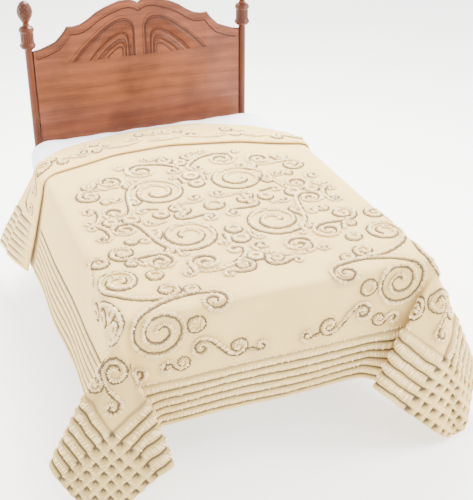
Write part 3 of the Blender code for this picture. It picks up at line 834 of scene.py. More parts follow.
# one quarter of the medallion, measured from its middle: across, along, radius, turns for each end
medallion = {
    "x": -0.01, "y": 0.79,
    "scrolls": [(0.205, 0.225, 0.135, 2.0, 0.445, 0.085, 0.070, 1.6, "S", -1, 0.0),
                (0.21, 0.475, 0.080, 1.7, 0.058, 0.425, 0.044, 1.2, "C", 1, 0.5),
                (0.385, 0.405, 0.070, 1.6, 0.515, 0.285, 0.054, 1.4, "S", 1, 0.1),
                (0.555, 0.13, 0.036, 1.2, 0.575, 0.03, 0.03, 1.0, "C", 1, 0.4),
                (0.058, 0.105, 0.04, 1.3, 0.17, 0.035, 0.028, 1.0, "S", 1, 0.2),
                (0.07, 0.555, 0.042, 1.3, 0.15, 0.60, 0.026, 1.0, "S", -1, 0.1),
                (0.40, 0.215, 0.03, 1.1, 0.455, 0.20, 0.02, 0.9, "S", 1, 0.1),
                (0.315, 0.335, 0.026, 1.0, 0.27, 0.38, 0.018, 0.8, "S", -1, 0.1)],
    "tendrils": [(0.305, 0.535, 0.03, 1.1, 0.275, 0.45, 1, 0.1, 0.5), (0.50, 0.385, 0.026, 1.0, 0.45, 0.42, -1, 0.1, 0.4),
                 (0.325, 0.055, 0.028, 1.0, 0.25, 0.07, 1, 0.2, 0.3),
                 (0.085, 0.345, 0.024, 1.0, 0.05, 0.275, 1, 0.2, 0.3), (0.335, 0.16, 0.022, 0.9, 0.345, 0.235, -1, 0.1, 0.3)],
    "rings": [(0.0, 0.245, 0.026), (0.0, 0.335, 0.028), (0.395, 0.0, 0.028), (0.49, 0.0, 0.024),
              (0.255, 0.0, 0.024), (0.0, 0.505, 0.024), (0.145, 0.0, 0.019)],
}


def buildMedallion(v):
    lines = mirrored(drawn(v), True) + [ring(0, 0, 0.036)]
    return [line + np.array([v["x"], v["y"]]) for line in lines]


# the group on the right foot corner: across from the middle, along from the foot edge of the mattress
footCorner = {
    "scrolls": [(0.52, -0.07, 0.125, 2.1, 0.285, 0.03, 0.07, 1.6, "C", 1, 0.35),
                (0.355, -0.185, 0.05, 1.4, 0.20, -0.215, 0.036, 1.2, "S", 1, 0.1),
                (0.60, 0.29, 0.085, 1.7, 0.435, 0.165, 0.045, 1.2, "C", -1, 0.45),
                (0.73, 0.02, 0.06, 1.5, 0.76, 0.19, 0.045, 1.2, "C", -1, 0.3),
                (0.62, -0.245, 0.042, 1.3, 0.735, -0.225, 0.05, 1.5, "S", 1, 0.1),
                (0.50, -0.245, 0.032, 1.1, 0.435, -0.235, 0.024, 1.0, "S", 1, 0.1),
                (0.84, 0.07, 0.04, 1.2, 0.88, -0.03, 0.045, 1.3, "S", 1, 0.1),
                (0.825, -0.135, 0.055, 1.5, 0.925, -0.235, 0.04, 1.2, "S", -1, 0.1),
                (0.93, -0.11, 0.035, 1.2, 0.945, 0.0, 0.03, 1.1, "C", -1, 0.3)],
    "tendrils": [(0.64, 0.46, 0.045, 1.3, 0.72, 0.36, -1, 0.2, 0.3), (0.10, -0.235, 0.03, 1.1, 0.16, -0.25, 1, 0.2, 0.3)],
    "rings": [(0.375, -0.07, 0.026), (0.70, 0.105, 0.024), (0.45, 0.29, 0.024), (0.345, 0.135, 0.022), (0.80, 0.29, 0.022)],
}


def evenly(line, spacing):
    step = np.linalg.norm(np.diff(line, axis=0), axis=1)
    travelled = np.concatenate([[0], np.cumsum(step)])
    at = np.linspace(0, travelled[-1], max(2, int(travelled[-1] / spacing)))
    even = np.stack([np.interp(at, travelled, line[:, k]) for k in range(2)], -1)
    ahead = np.gradient(even, axis=0)
    return even, ahead / np.maximum(np.linalg.norm(ahead, axis=1), 1e-9)[:, None]


def cordPoints(lines, spacing, offset, seed):
    draw = np.random.default_rng(seed)
    parts = [evenly(line, spacing) for line in lines]
    ahead = np.concatenate([ahead for _, ahead in parts])
    stray = offset + draw.normal(0, cord["jitter"], len(ahead))
    return np.concatenate([even for even, _ in parts]) + np.stack([-ahead[:, 1], ahead[:, 0]], -1) * stray[:, None], ahead


def onCloth(flatPoints, heading, rise):
    u, s = flatPoints[:, 0], flatPoints[:, 1]
    point, normal = clothPoint(u, s), clothNormal(u, s)
    ahead = clothPoint(u + heading[:, 0] * 0.004, s + heading[:, 1] * 0.004) - point
    ahead /= np.maximum(np.linalg.norm(ahead, axis=1), 1e-9)[:, None]
    a = np.abs(u) - spread["halfWidth"]
    lift = slowSwell(u, s) * np.clip(-a / 0.15, 0, 1) * np.clip(s / 0.2, 0, 1)
    point = point + normal * (spread["thick"] / 2 + lift + rise)[:, None]
    return point + clothShift, normal, ahead


cordTree = tuftTree("chenilleCord", 1)


def tuftRows(name, flatPoints, heading, rise, sizes, seed, material):
    points, out, along = onCloth(flatPoints, heading, np.full(len(flatPoints), rise))
    obj = tuftPiece(name, points, out, along, np.ones(len(points)), cordTree,
                    {**sizes, "Seed": seed, "Material": material})
    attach(obj, "root")
    print("stage:", name, len(points), "tufts", len(obj.data.polygons), "faces")
    return obj


def scrollPieces(name, lines, seed):
    points, heading = cordPoints(lines, cord["spacing"], 0, seed)
    tuftRows(name + "Tufts", points, heading, 0.0006,
             {"Length": cord["length"], "Width": cord["width"], "Height": cord["height"], "Uneven": cord["uneven"]},
             seed, tuftMaterial)
    # the painted shadow line, a little to one side of the cord
    points, heading = cordPoints(lines, cord["shadowSpacing"], cord["shadowOffset"], seed)
    tuftRows(name + "Lines", points, heading, 0.0012,
             {"Length": cord["shadowLength"], "Width": cord["shadowWidth"], "Height": cord["shadowHeight"], "Uneven": 0.2},
             seed + 1, cordShadowMaterial)


def shadeBeside(points, strength=0.26, reach=0.022):
    # painted shade: the cloth is darkened close beside every cord
    tree = kdtree.KDTree(len(points))
    for i, (u, s) in enumerate(points):
        tree.insert((u, s, 0), i)
    tree.balance()
    flat, values = surface["flat"], surface["groove"]
    rows = np.argwhere((flat[..., 1] > -spread["ribStart"]) & (np.abs(flat[..., 0]) < spread["halfWidth"] + spread["ribStart"]))
    for i, j in rows:
        if i < surface["headRow"]:
            near = tree.find((flat[i, j, 0], flat[i, j, 1], 0))[2]
            values[i, j] = max(values[i, j], strength * math.exp(-(near / reach) ** 2))
    attribute = spreadPiece.data.attributes["groove"]
    attribute.data.foreach_set("value", np.concatenate([values.ravel(), 0 * values.ravel()]).astype(np.float32))


allCords = np.concatenate([evenly(line, 0.01)[0] for line in buildMedallion(medallion) + mirrored(drawn(footCorner))])
shadeBeside(allCords)
scrollPieces("medallion", buildMedallion(medallion), 11)
scrollPieces("corner", mirrored(drawn(footCorner)), 23)

# ---- pile across the ribs

ribPile = {"spacing": 0.0092, "length": 0.0152, "width": 0.0041, "height": 0.0066, "sink": 0.0012, "uneven": 0.36,
           "jitter": 0.0040, "outwards": 0.0004, "latticeSize": 0.5, "wallSize": 0.34, "fringeSize": 0.6, "seed": 31}


def ribRows(v):
    """points along the crest of every rib with the way it runs and the size of its pile"""
    draw = np.random.default_rng(v["seed"])
    half, begin, pitch = spread["halfWidth"], spread["ribStart"], spread["ribPitch"]
    points, headings, sizes = [], [], []

    def add(alongRib, depth, size, side):
        # side is 0 across the foot, else -1 or 1
        stray = ribWander(alongRib, depth + 0 * alongRib, 1.0 + side if side else 4.0)
        out = depth + stray + draw.normal(v["outwards"], v["jitter"] / 2, len(alongRib))
        alongRib = alongRib + draw.normal(0, v["jitter"] / 2, len(alongRib))
        points.append(np.stack([side * (half + out), alongRib] if side else [alongRib, -out], -1))
        headings.append(np.tile([0.0, 1.0] if side else [1.0, 0.0], (len(out), 1)))
        sizes.append(size)
    for side in (-1, 1):
        for k in range(spread["sideRibs"] - 1):
            depth = begin + (k + 0.5) * pitch
            s = np.arange(-footDrop + 0.03, float(alongKnots(foldAt, side * (half + depth))) - 0.05, v["spacing"])
            corner = (half + depth - half > sideDrop - 0.08) & (s < -footDrop + 0.10)
            s = s[~corner]
            crossed = -s > begin
            size = np.where(s > 0, v["wallSize"] + (1 - v["wallSize"]) * np.clip(1 - s / 0.12, 0, 1), 1.0)
            add(s, depth + np.where(crossed, crossedRib * pitch, 0), np.where(crossed, v["latticeSize"], size), side)
    for k in range(spread["footRibs"] - 1):
        depth = begin + (k + 0.5) * pitch
        u = np.arange(-(half + begin) + 0.012, half + begin - 0.012, v["spacing"])
        add(u, depth, np.ones_like(u), 0)
        for side in (-1, 1):
            u = side * np.arange(half + begin + 0.01, half + sideDrop - 0.02 - 0.03 * (k > 3), v["spacing"])
            add(u, depth + crossedRib * pitch, np.full_like(u, v["latticeSize"]), 0)
    u = np.arange(-(half + 0.1), half + 0.1, v["spacing"] * 0.8)
    add(u, begin - 0.008, np.full_like(u, v["fringeSize"]), 0)
    return np.concatenate(points), np.concatenate(headings), np.concatenate(sizes)


def buildRibPile(v):
    points, heading, size = ribRows(v)
    onRib = np.maximum(np.abs(points[:, 0]) - spread["halfWidth"], -points[:, 1]) > spread["ribStart"]
    rise = np.where(onRib, spread["ribHeight"] * foldFade(points[:, 0], points[:, 1])
                    * wallEase(points[:, 0], points[:, 1]), 0.0) - v["sink"] * size
    place3, out, along = onCloth(points, heading, rise)
    sizes = {"Length": v["length"], "Width": v["width"], "Height": v["height"], "Uneven": v["uneven"]}
    obj = tuftPiece("ribPile", place3, out, along, size, cordTree, {**sizes, "Seed": v["seed"], "Material": tuftMaterial})
    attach(obj, "root")
    print("stage: ribPile", len(points), "tufts", len(obj.data.polygons), "faces")


buildRibPile(ribPile)

# ---- cords and pile on the folded head end, laid on the upper layer of the fold

headEnd = {
    "rowsFromEnd": 19, "pileSpacing": 0.0092, "pileSize": 1.0, "sink": 0.0006, "seed": 47,
    # across, then metres from the fold towards the head
    "scrolls": [(0.44, 0.075, 0.045, 1.3, 0.55, 0.045, 0.03, 1.0, "S", 1, 0.1), (0.16, 0.10, 0.05, 1.3, 0.31, 0.09, 0.035, 1.1, "C", 1, 0.4),
                (0.66, 0.07, 0.045, 1.3, 0.78, 0.07, 0.036, 1.1, "S", -1, 0.1), (0.90, 0.06, 0.04, 1.2, 0.84, 0.16, 0.03, 1.0, "C", 1, 0.3),
                (0.03, 0.17, 0.03, 1.1, 0.10, 0.17, 0.02, 0.9, "S", 1, 0.1), (0.36, 0.165, 0.03, 1.1, 0.42, 0.15, 0.022, 0.9, "S", -1, 0.1)],
    "tendrils": [(0.0, 0.06, 0.03, 1.1, 0.08, 0.04, 1, 0.2, 0.3)],
    "rings": [(0.365, 0.055, 0.015), (0.605, 0.105, 0.015)],
}


def onHeadEnd(flatPoints, heading, rise):
    # walks each column of the upper layer by its real length
    upper, normals, u = surface["outer"][-headEnd["rowsFromEnd"]:], surface["normal"][-headEnd["rowsFromEnd"]:], surface["u"]
    travelled = np.concatenate([np.zeros((1, len(u))), np.cumsum(np.linalg.norm(np.diff(upper, axis=0), axis=2), axis=0)])
    far = np.interp(flatPoints[:, 0], u, travelled[-1])

    def at(points):
        column = np.interp(points[:, 0], u, np.arange(len(u)))
        k = np.clip(column.astype(int), 0, len(u) - 2)
        rows = np.array([np.interp(d, travelled[:, j], np.arange(len(upper))) for d, j in zip(points[:, 1], k)])
        i = np.clip(rows.astype(int), 0, len(upper) - 2)
        f, g = (rows - i)[:, None], (column - k)[:, None]
        return [(grid[i, k] * (1 - f) * (1 - g) + grid[i + 1, k] * f * (1 - g) + grid[i, k + 1] * (1 - f) * g
                 + grid[i + 1, k + 1] * f * g) for grid in (upper, normals)]
    inside = (flatPoints[:, 1] > 0.012) & (flatPoints[:, 1] < far - 0.014)
    flatPoints, heading = flatPoints[inside], heading[inside]
    point, normal = at(flatPoints)
    ahead = at(flatPoints + heading * 0.006)[0] - point
    ahead /= np.maximum(np.linalg.norm(ahead, axis=1), 1e-9)[:, None]
    return point + normal * rise, normal, ahead


def buildHeadEnd(v):
    lines = mirrored(drawn(v))
    # the cords, then their painted shadow lines
    for label, spacing, offset, rise, keys, material in (
            ("headTufts", "spacing", 0.0, 0.0006, ("length", "width", "height"), tuftMaterial),
            ("headLines", "shadowSpacing", cord["shadowOffset"], 0.0006, ("shadowLength", "shadowWidth", "shadowHeight"), cordShadowMaterial)):
        points, out, along = onHeadEnd(*cordPoints(lines, cord[spacing], offset, v["seed"]), rise)
        obj = tuftPiece(label, points, out, along, np.ones(len(points)), cordTree,
                        {"Length": cord[keys[0]], "Width": cord[keys[1]], "Height": cord[keys[2]], "Uneven": 0.2,
                         "Seed": v["seed"], "Material": material})
        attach(obj, "root")
    flat = []
    for side in (-1, 1):
        for k in range(spread["sideRibs"] - 1):
            depth = spread["ribStart"] + (k + 0.5) * spread["ribPitch"]
            along = np.arange(0.02, 0.7, v["pileSpacing"])
            flat.append(np.stack([np.full_like(along, side * (spread["halfWidth"] + depth)), along], -1))
    flat = np.concatenate(flat)
    points, out, along = onHeadEnd(flat, np.tile([0.0, 1.0], (len(flat), 1)), -v["sink"])
    obj = tuftPiece("headPile", points, out, along, np.full(len(points), v["pileSize"]), cordTree,
                    {"Length": ribPile["length"], "Width": ribPile["width"], "Height": ribPile["height"],
                     "Uneven": ribPile["uneven"], "Seed": v["seed"], "Material": tuftMaterial})
    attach(obj, "root")
    print("stage: head end", len(points), "tufts of pile")


buildHeadEnd(headEnd)

# ---- wood

woodLook = {"light": (0.18, 0.053, 0.023), "dark": (0.034, 0.008, 0.004), "roughness": 0.38}


def woodMaterial(name, look, turned):
    mat, tree, shader = startMaterial(name, look["roughness"], look["light"])
    shader.inputs["Specular IOR Level"].default_value = 0.22
    shader.inputs["Coat Weight"].default_value = 0.04
    shader.inputs["Coat Roughness"].default_value = 0.3
    coord = tree.nodes.new("ShaderNodeTexCoord").outputs["Object"]
    mapping = tree.nodes.new("ShaderNodeMapping")
    mapping.inputs["Rotation"].default_value = turned
    wire(tree, coord, mapping.inputs["Vector"])
    grain = placeGroup(tree, grainGroup, {"Vector": mapping.outputs[0], "Figure": 5.0, "Pores": 150.0})
    figure = mathNode(tree, "MULTIPLY", grain.outputs["Figure"], 0.26)
    pores = mathNode(tree, "MULTIPLY", mathNode(tree, "SUBTRACT", grain.outputs["Pores"], 0.45, True), 2.2, True)
    both = mathNode(tree, "ADD", figure, mathNode(tree, "MULTIPLY", pores, 0.5), True)
    base = mixColours(tree, both, look["light"], look["dark"])
    blotch = mathNode(tree, "MULTIPLY", mathNode(tree, "SUBTRACT", grain.outputs["Blotch"], 0.42, True), 1.6, True)
    base = mixColours(tree, blotch, base, look["dark"])
    # painted shade: the wood darkens along the headboard's eased front edge and in the hollows of the posts' reeds and
    # carved scales
    shade = tree.nodes.new("ShaderNodeAttribute")
    shade.attribute_name = "paintedWoodShade"
    wire(tree, mixColours(tree, shade.outputs["Fac"], base, look["dark"]), shader.inputs["Base Color"])
    addBump(tree, shader, pores, 0.25, 0.001)
    return mat


standingWood = woodMaterial("cherryStanding", {**woodLook, "light": (0.105, 0.025, 0.009), "dark": (0.02, 0.005, 0.0025)}, (0, 0, 0))
lyingWood = woodMaterial("cherryLying", woodLook, (0, math.radians(90), 0))
railWood = woodMaterial("cherryRail", woodLook, (math.radians(90), 0, 0))
# painted shade: a near-black wood for the rods in the quirks and the ground under the flutes
shadowWood = woodMaterial("cherryShadow", {**woodLook, "light": (0.06, 0.016, 0.007), "dark": (0.02, 0.005, 0.003)}, (0, 0, 0))

head = {
    "postX": 0.59, "y": 1.97, "postRadius": 0.019, "halfThick": 0.011, "bottom": -0.12, "bead": 0.0042,
    # half of the top edge, from the notch in the middle outwards, as across and above the mattress
    "edge": [(0.0, 0.640), (0.02, 0.652), (0.05, 0.662), (0.09, 0.660), (0.13, 0.648), (0.18, 0.631), (0.228, 0.608),
             (0.27, 0.579), (0.31, 0.557), (0.345, 0.550), (0.385, 0.552), (0.402, 0.525), (0.448, 0.479),
             (0.49, 0.462), (0.53, 0.448), (0.5706, 0.440)],
    "fan": [(0.023, 0.36), (0.023, 0.44), (0.023, 0.50), (0.03, 0.544), (0.045, 0.566), (0.073, 0.579), (0.10, 0.579),
            (0.128, 0.572), (0.16, 0.556), (0.20, 0.531), (0.266, 0.48), (0.33, 0.425), (0.385, 0.36)],
    "fanHeart": (0.115, 0.36), "fluteEvery": 0.0068,
}


def finely(points, step, rounds=2):
    # the same line in short even steps, its corners eased a little
    points = np.asarray(points, float)
    travelled = np.concatenate([[0], np.cumsum(np.linalg.norm(np.diff(points, axis=0), axis=1))])
    at = np.linspace(0, travelled[-1], int(travelled[-1] / step) + 1)
    line = np.stack([np.interp(at, travelled, points[:, k]) for k in range(points.shape[1])], -1)
    for _ in range(rounds):
        line[1:-1] = (line[:-2] + 2 * line[1:-1] + line[2:]) / 4
    return line


def inBed(points):
    return np.asarray(points, float) + np.array([place["shiftX"], place["shiftY"], place["mattressTop"]])


def sweepTube(name, lines, radius, material, sides=8, closed=False):
    """round rods along lines of points"""
    allPoints, faces = [], []
    for line in lines:
        line = np.asarray(line, float)
        ahead = (np.roll(line, -1, 0) - np.roll(line, 1, 0)) if closed else np.gradient(line, axis=0)
        ahead /= np.linalg.norm(ahead, axis=1)[:, None]
        up = np.array([0.0, 1.0, 0.0]) if np.abs(ahead[:, 1]).max() < 0.9 else np.array([0.0, 0.0, 1.0])
        side = np.cross(ahead, up)
        side /= np.linalg.norm(side, axis=1)[:, None]
        top = np.cross(side, ahead)
        base, n = sum(len(p) for p in allPoints), len(line)
        t = np.linspace(0, 2 * math.pi, sides, endpoint=False)
        ringPoints = line[:, None] + radius * (np.cos(t)[None, :, None] * side[:, None] + np.sin(t)[None, :, None] * top[:, None])
        allPoints.append(ringPoints.reshape(-1, 3))
        for i in range(n if closed else n - 1):
            j = (i + 1) % n
            faces += [(base + i * sides + k, base + j * sides + k, base + j * sides + (k + 1) % sides,
                       base + i * sides + (k + 1) % sides) for k in range(sides)]
        if not closed:
            faces += [tuple(base + k for k in range(sides)), tuple(base + (n - 1) * sides + k for k in reversed(range(sides)))]
    obj = newObject(name, np.concatenate(allPoints), faces, material)
    fixNormals(obj)
    return obj


def fixNormals(obj):
    import bmesh
    work = bmesh.new()
    work.from_mesh(obj.data)
    bmesh.ops.recalc_face_normals(work, faces=work.faces)
    work.to_mesh(obj.data)
    work.free()


def insetLine(line, amount):
    # a closed outline moved inwards, for the eased edge of a board
    line = np.asarray(line, float)
    ahead = np.roll(line, -1, 0) - np.roll(line, 1, 0)
    ahead /= np.linalg.norm(ahead, axis=1)[:, None]
    inward = np.stack([-ahead[:, 1], ahead[:, 0]], -1)
    return line + inward * amount


def buildHeadboard(v):
    edge = finely(v["edge"], 0.006, 1)
    edge[0, 0], edge[-1] = 0.0, v["edge"][-1]
    top = np.vstack([edge[:0:-1] * np.array([-1, 1]), edge])
    low = np.stack([top[:, 0], np.full(len(top), v["bottom"])], -1)
    # anticlockwise: along the bottom, then back along the shaped top
    outline = np.vstack([low, top[::-1]])
    loops = []
    for inset, y in ((0.0062, -1.0), (0.0030, -0.93), (0.0010, -0.70), (0.0, -0.35), (0.0, 0.35), (0.0010, 0.70),
                     (0.0030, 0.93), (0.0062, 1.0)):
        eased = insetLine(outline, inset)
        loops.append(np.stack([eased[:, 0], np.full(len(eased), v["y"] + y * v["halfThick"]), eased[:, 1]], -1))
    n, m = len(outline), len(top)
    back = (len(loops) - 1) * n
    faces = [(j, j + 1, n - 2 - j, n - 1 - j) for j in range(m - 1)]
    faces += [(back + j + 1, back + j, back + n - 1 - j, back + n - 2 - j) for j in range(m - 1)]
    for i in range(len(loops) - 1):
        faces += [(i * n + j, (i + 1) * n + j, (i + 1) * n + (j + 1) % n, i * n + (j + 1) % n) for j in range(n)]
    board = newObject("headboardPanel", inBed(np.concatenate(loops)), faces, lyingWood)
    # painted shade along the eased front edge, a drawn outline of shadow
    setAttribute(board, "paintedWoodShade", "FLOAT", np.repeat([0.0, 0.8, 0.8, 0.5, 0.0, 0.0, 0.0, 0.0], n))
    fixNormals(board)
    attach(board, "root")
    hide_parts("headboard")


def fanLines(v, side, shrink, step=0.008):
    line = finely(v["fan"], step, 3)
    heart = np.array(v["fanHeart"])
    line = heart + (line - heart) * shrink
    return line * np.array([side, 1])


def buildMouldings(v):
    front = v["y"] - v["halfThick"]
    beads, dark, backing, flutes, outs, alongs, sizes = [], [], [], [], [], [], []

    def raised(line, lift=0.0):
        return inBed(np.stack([line[:, 0], np.full(len(line), front - lift), line[:, 1]], -1))
    edge = finely(v["edge"], 0.006, 2)
    for side in (-1, 1):
        for shrink in (1.0, 0.50, 0.30):
            beads.append(raised(fanLines(v, side, shrink)))
        # dark rods in the quirks of the carving, painted shade
        for shrink in (0.93, 0.57, 0.235):
            dark.append(raised(fanLines(v, side, shrink)))
        inner = edge - np.array([0.0, 0.034])
        inner[:, 0] *= 0.965
        beads.append(raised(inner * np.array([side, 1])))
        dark.append(raised((inner - np.array([0.0, 0.009])) * np.array([side, 1])))
        for outerShrink, innerShrink, count in ((0.90, 0.60, 1.0), (0.45, 0.34, 1.0)):
            outer = finely(fanLines(v, side, outerShrink), v["fluteEvery"] * (1 if outerShrink > 0.5 else 0.85), 0)
            heart = np.array(v["fanHeart"]) * np.array([side, 1])
            share = innerShrink / outerShrink
            near = heart + (outer - heart) * share
            middle, radial = (outer + near) / 2, outer - near
            length = np.linalg.norm(radial, axis=1)
            across = np.stack([-radial[:, 1], radial[:, 0]], -1) / length[:, None]
            flutes.append(raised(middle, 0.0006))
            backing.append(np.stack([raised(outer, 0.0009), raised(near, 0.0009), raised(near, -0.002), raised(outer, -0.002)], 1))
            alongs.append(np.stack([across[:, 0], 0 * length, across[:, 1]], -1))
            outs.append(np.tile([0.0, -1.0, 0.0], (len(middle), 1)))
            sizes.append(length / 0.1)
    sweepPieces = ((beads, "headboardBeads", v["bead"], lyingWood), (dark, "headboardQuirkShadows", 0.0032, shadowWood))
    for lines, name, radius, material in sweepPieces:
        obj = sweepTube(name, lines, radius, material)
        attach(obj, "root")
    # painted shade: a thin dark-wood ground under the flutes stands in for the shadow between them
    points, faces = np.concatenate([band.reshape(-1, 3) for band in backing]), []
    begin = 0
    for band in backing:
        n = len(band)
        faces += [(begin + 4 * i + k, begin + 4 * i + 4 + k, begin + 4 * i + 4 + (k + 1) % 4, begin + 4 * i + (k + 1) % 4)
                  for i in range(n - 1) for k in range(4)]
        faces += [tuple(begin + k for k in range(4)), tuple(begin + 4 * n - 4 + k for k in (3, 2, 1, 0))]
        begin += 4 * n
    obj = newObject("headboardFluteShadow", points, faces, shadowWood)
    fixNormals(obj)
    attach(obj, "root")
    points, scale = np.concatenate(flutes), np.concatenate(sizes)
    obj = tuftPiece("headboardFlutes", points, np.concatenate(outs), np.concatenate(alongs), scale, fluteTree,
                    {"Length": 0.05, "Width": 0.0046, "Height": 0.0068, "Uneven": 0.0, "Seed": 3, "Material": lyingWood})
    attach(obj, "root")


fluteTree = tuftTree("woodFlute", 2)

post = {
    "sides": 72, "step": 0.0022, "reeds": 18, "reedDepth": 0.0022, "scales": 11, "scaleDepth": 0.0032,
    # radius and height above the mattress; the reeded drum and the carved finial get their relief in code
    "profile": [(0.020, -0.815), (0.026, -0.80), (0.026, -0.755), (0.034, -0.74), (0.034, -0.515), (0.026, -0.50),
                (0.030, -0.475), (0.024, -0.445), (0.021, -0.255), (0.019, -0.14), (0.019, 0.452), (0.038, 0.466),
                (0.042, 0.477), (0.036, 0.487), (0.034, 0.492), (0.034, 0.545), (0.037, 0.549), (0.0405, 0.557),
                (0.034, 0.570), (0.018, 0.580), (0.015, 0.592), (0.022, 0.604), (0.036, 0.628), (0.041, 0.650),
                (0.036, 0.674), (0.024, 0.695), (0.008, 0.7055)],
}


def buildPost(name, side, v):
    line = finely(v["profile"], v["step"], 1)
    line[0], line[-1] = v["profile"][0], v["profile"][-1]
    keep = np.concatenate([[True], np.diff(line[:, 1]) > 1e-6]) | (line[:, 1] > 0.44)
    straight = (line[:, 1] > -0.12) & (line[:, 1] < 0.43)
    keep &= ~straight | (np.arange(len(line)) % 12 == 0)
    line = line[keep]
    t = np.linspace(0, 2 * math.pi, v["sides"], endpoint=False)[None, :]
    r, z = line[:, :1] + 0 * t, line[:, 1:] + 0 * t
    drum = np.clip((z - 0.490) / 0.004, 0, 1) * np.clip((0.547 - z) / 0.004, 0, 1)
    drum = drum + np.clip((z + 0.73) / 0.01, 0, 1) * np.clip((-0.525 - z) / 0.01, 0, 1)
    r = r - v["reedDepth"] * drum * (1 - np.abs(np.sin(v["reeds"] * t / 2)))
    bulb = np.clip((z - 0.606) / 0.012, 0, 1)
    twist = z * 150
    scales = np.abs(np.sin(v["scales"] * t / 2 + twist)) * np.abs(np.sin(v["scales"] * t / 2 - twist))
    r = r - v["scaleDepth"] * bulb * np.clip((0.704 - z) / 0.02, 0, 1) * (1 - np.sqrt(scales))
    points = np.stack([side * head["postX"] + r * np.cos(t), head["y"] + r * np.sin(t), z], -1)
    rows, sides = r.shape
    faces = [(i * sides + k, i * sides + (k + 1) % sides, (i + 1) * sides + (k + 1) % sides, (i + 1) * sides + k)
             for i in range(rows - 1) for k in range(sides)]
    faces += [tuple(range(sides - 1, -1, -1)), tuple(range((rows - 1) * sides, rows * sides))]
    obj = newObject(name + "Turned", inBed(points.reshape(-1, 3)), faces, standingWood)
    # painted shade in the hollows of the reeds and of the carved scales
    paintedWoodShade = np.clip(drum * (1 - np.abs(np.sin(v["reeds"] * t / 2))) ** 2 + bulb * (1 - np.sqrt(scales)) ** 2 * 1.1, 0, 1)
    setAttribute(obj, "paintedWoodShade", "FLOAT", paintedWoodShade.ravel())
    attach(obj, "root")
    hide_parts(name)


buildHeadboard(head)
buildMouldings(head)
buildPost("post_left", -1, post)
buildPost("post_right", 1, post)
for node in ("rail_left", "rail_right"):
    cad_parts[node].data.materials.clear()
    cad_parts[node].data.materials.append(railWood)
print("stage: wood")

# ---- mattress and base, puffed up as cloth

sheetLook = {"colour": (0.80, 0.83, 0.90), "shade": (0.70, 0.73, 0.82), "roughness": 0.85}
tickLook = {"colour": (0.74, 0.72, 0.67), "shade": (0.62, 0.60, 0.55), "roughness": 0.9}


def sheetingMaterial(name, look):
    mat, tree, shader = startMaterial(name, look["roughness"], look["colour"])
    shader.inputs["Specular IOR Level"].default_value = 0.25
    coord = tree.nodes.new("ShaderNodeTexCoord").outputs["Object"]
    pile = placeGroup(tree, pileGroup, {"Vector": coord, "Fuzz Scale": 60.0, "Weave Scale": 2400.0, "Weave Share": 0.5})
    drift = mathNode(tree, "MULTIPLY", mathNode(tree, "SUBTRACT", pile.outputs["Drift"], 0.4, True), 1.5, True)
    wire(tree, mixColours(tree, drift, look["colour"], look["shade"]), shader.inputs["Base Color"])
    addBump(tree, shader, pile.outputs["Height"], 0.2, 0.002)
    return mat


sheeting = sheetingMaterial("whiteSheeting", sheetLook)
ticking = sheetingMaterial("paleTicking", tickLook)

pads = {
    "mattress": {"inset": 0.010, "voxel": 0.017, "pressure": 4.0, "cap": 0.012, "frames": 18, "material": sheeting,
                 "crease": 0.0035},
    "base": {"inset": 0.007, "voxel": 0.017, "pressure": 4.0, "cap": 0.007, "frames": 14, "material": ticking, "crease": 0.0},
}


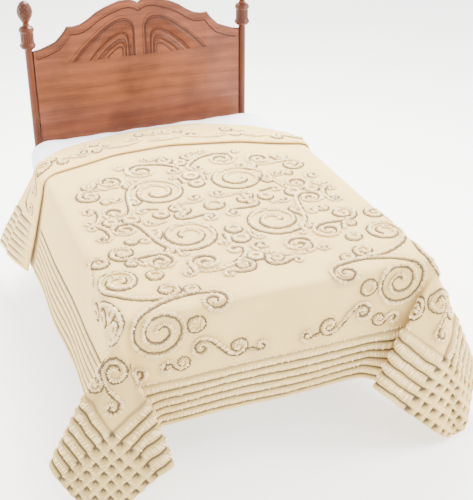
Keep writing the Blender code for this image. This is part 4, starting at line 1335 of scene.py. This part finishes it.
def puff(node, v):
    """a copy of the solid, a little smaller, swollen as cloth and brought back inside the solid's box"""
    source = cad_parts[node]
    lo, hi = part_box(node)
    lo, hi = np.array(lo), np.array(hi)
    obj = bpy.data.objects.new(node + "Pad", source.data.copy())
    bpy.context.scene.collection.objects.link(obj)
    middle = (lo + hi) / 2
    points = np.empty(len(obj.data.vertices) * 3)
    obj.data.vertices.foreach_get("co", points)
    points = middle + (points.reshape(-1, 3) - middle) * (1 - 2 * v["inset"] / (hi - lo))
    obj.data.vertices.foreach_set("co", points.ravel())
    weld = obj.modifiers.new("weld", "WELD")
    weld.merge_threshold = 0.0002
    bakeModifiers(obj)
    remesh = obj.modifiers.new("remesh", "REMESH")
    remesh.mode, remesh.voxel_size = "VOXEL", v["voxel"]
    bakeModifiers(obj)
    start = np.empty(len(obj.data.vertices) * 3)
    obj.data.vertices.foreach_get("co", start)
    cloth = obj.modifiers.new("cloth", "CLOTH")
    cloth.settings.use_pressure = True
    cloth.settings.uniform_pressure_force = v["pressure"]
    cloth.settings.effector_weights.gravity = 0
    cloth.point_cache.frame_end = v["frames"] + 1
    for step in range(1, v["frames"] + 1):
        bpy.context.scene.frame_set(step)
    bakeModifiers(obj)
    bpy.context.scene.frame_set(1)
    end = np.empty(len(start))
    obj.data.vertices.foreach_get("co", end)
    start, end = start.reshape(-1, 3), end.reshape(-1, 3)
    moved = end - start
    far = np.maximum(np.linalg.norm(moved, axis=1), 1e-9)
    end = start + moved * (np.minimum(far, v["cap"]) / far)[:, None]
    # a little drag in the fabric near the head end, where it shows, and always downwards
    if v["crease"]:
        top = np.clip((end[:, 2] - hi[2] + 0.05) / 0.03, 0, 1)
        pull = (np.sin(26 * end[:, 0] + 9 * end[:, 1]) + np.sin(41 * end[:, 0] - 17 * end[:, 1] + 2)) / 2
        end[:, 2] += v["crease"] * top * (pull - 1) * np.clip((end[:, 1] - hi[1] + 0.7) / 0.2, 0, 1)
    end = np.clip(end, lo + 0.0003, hi - 0.0003)
    obj.data.vertices.foreach_set("co", end.ravel())
    obj.data.update()
    smooth = obj.modifiers.new("smooth", "SUBSURF")
    smooth.levels = smooth.render_levels = 1
    bakeModifiers(obj)
    obj.data.materials.clear()
    obj.data.materials.append(v["material"])
    obj.data.shade_smooth()
    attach(obj, "root")
    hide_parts(node)
    print("stage: pad", node, len(obj.data.polygons), "faces")
    return obj


for padNode, padValues in pads.items():
    puff(padNode, padValues)

# ---- floor and light

studio = {"floor": (0.95, 0.945, 0.935), "glow": 1.0, "world": 3.05, "key": 740.0, "side": 230.0, "fill": 430.0}


def buildStudio(v):
    mat, tree, shader = startMaterial("paleFloor", 0.75, v["floor"])
    coord = tree.nodes.new("ShaderNodeTexCoord").outputs["Object"]
    speck = noiseNode(tree, coord, 30.0)
    wire(tree, mixColours(tree, mathNode(tree, "MULTIPLY", speck, 0.1), v["floor"], (0.86, 0.855, 0.84)),
         shader.inputs["Base Color"])
    shader.inputs["Emission Color"].default_value = (*v["floor"], 1)
    shader.inputs["Emission Strength"].default_value = v["glow"]
    size = 14.0
    floor = newObject("floor", [(-size, -size, 0), (size, -size, 0), (size, size, 0), (-size, size, 0)], [(0, 1, 2, 3)], mat)
    world = bpy.data.worlds.new("studio")
    bpy.context.scene.world = world
    world.use_nodes = True
    background = world.node_tree.nodes["Background"]
    background.inputs[0].default_value = (1, 0.99, 0.97, 1)
    background.inputs[1].default_value = v["world"]
    for name, place3, aim, power, width in (
            ("keyLight", (0.9, 2.1, 4.0), (0, 0, 0.6), v["key"], 1.8),
            ("sideLight", (-4.0, 2.6, 1.5), (-0.7, 0, 0.5), v["side"], 2.0),
            ("fillLight", (4.0, -1.6, 3.0), (0, 0, 0.4), v["fill"], 2.4)):
        data = bpy.data.lights.new(name, "AREA")
        data.energy, data.size = power, width
        data.color = (1, 0.97, 0.92)
        obj = bpy.data.objects.new(name, data)
        obj.location = place3
        direction = np.array(aim) - np.array(place3)
        flatLength = math.hypot(direction[0], direction[1])
        obj.rotation_euler = (math.pi / 2 + math.atan2(direction[2], flatLength), 0,
                              math.atan2(direction[1], direction[0]) - math.pi / 2)
        bpy.context.scene.collection.objects.link(obj)


buildStudio(studio)
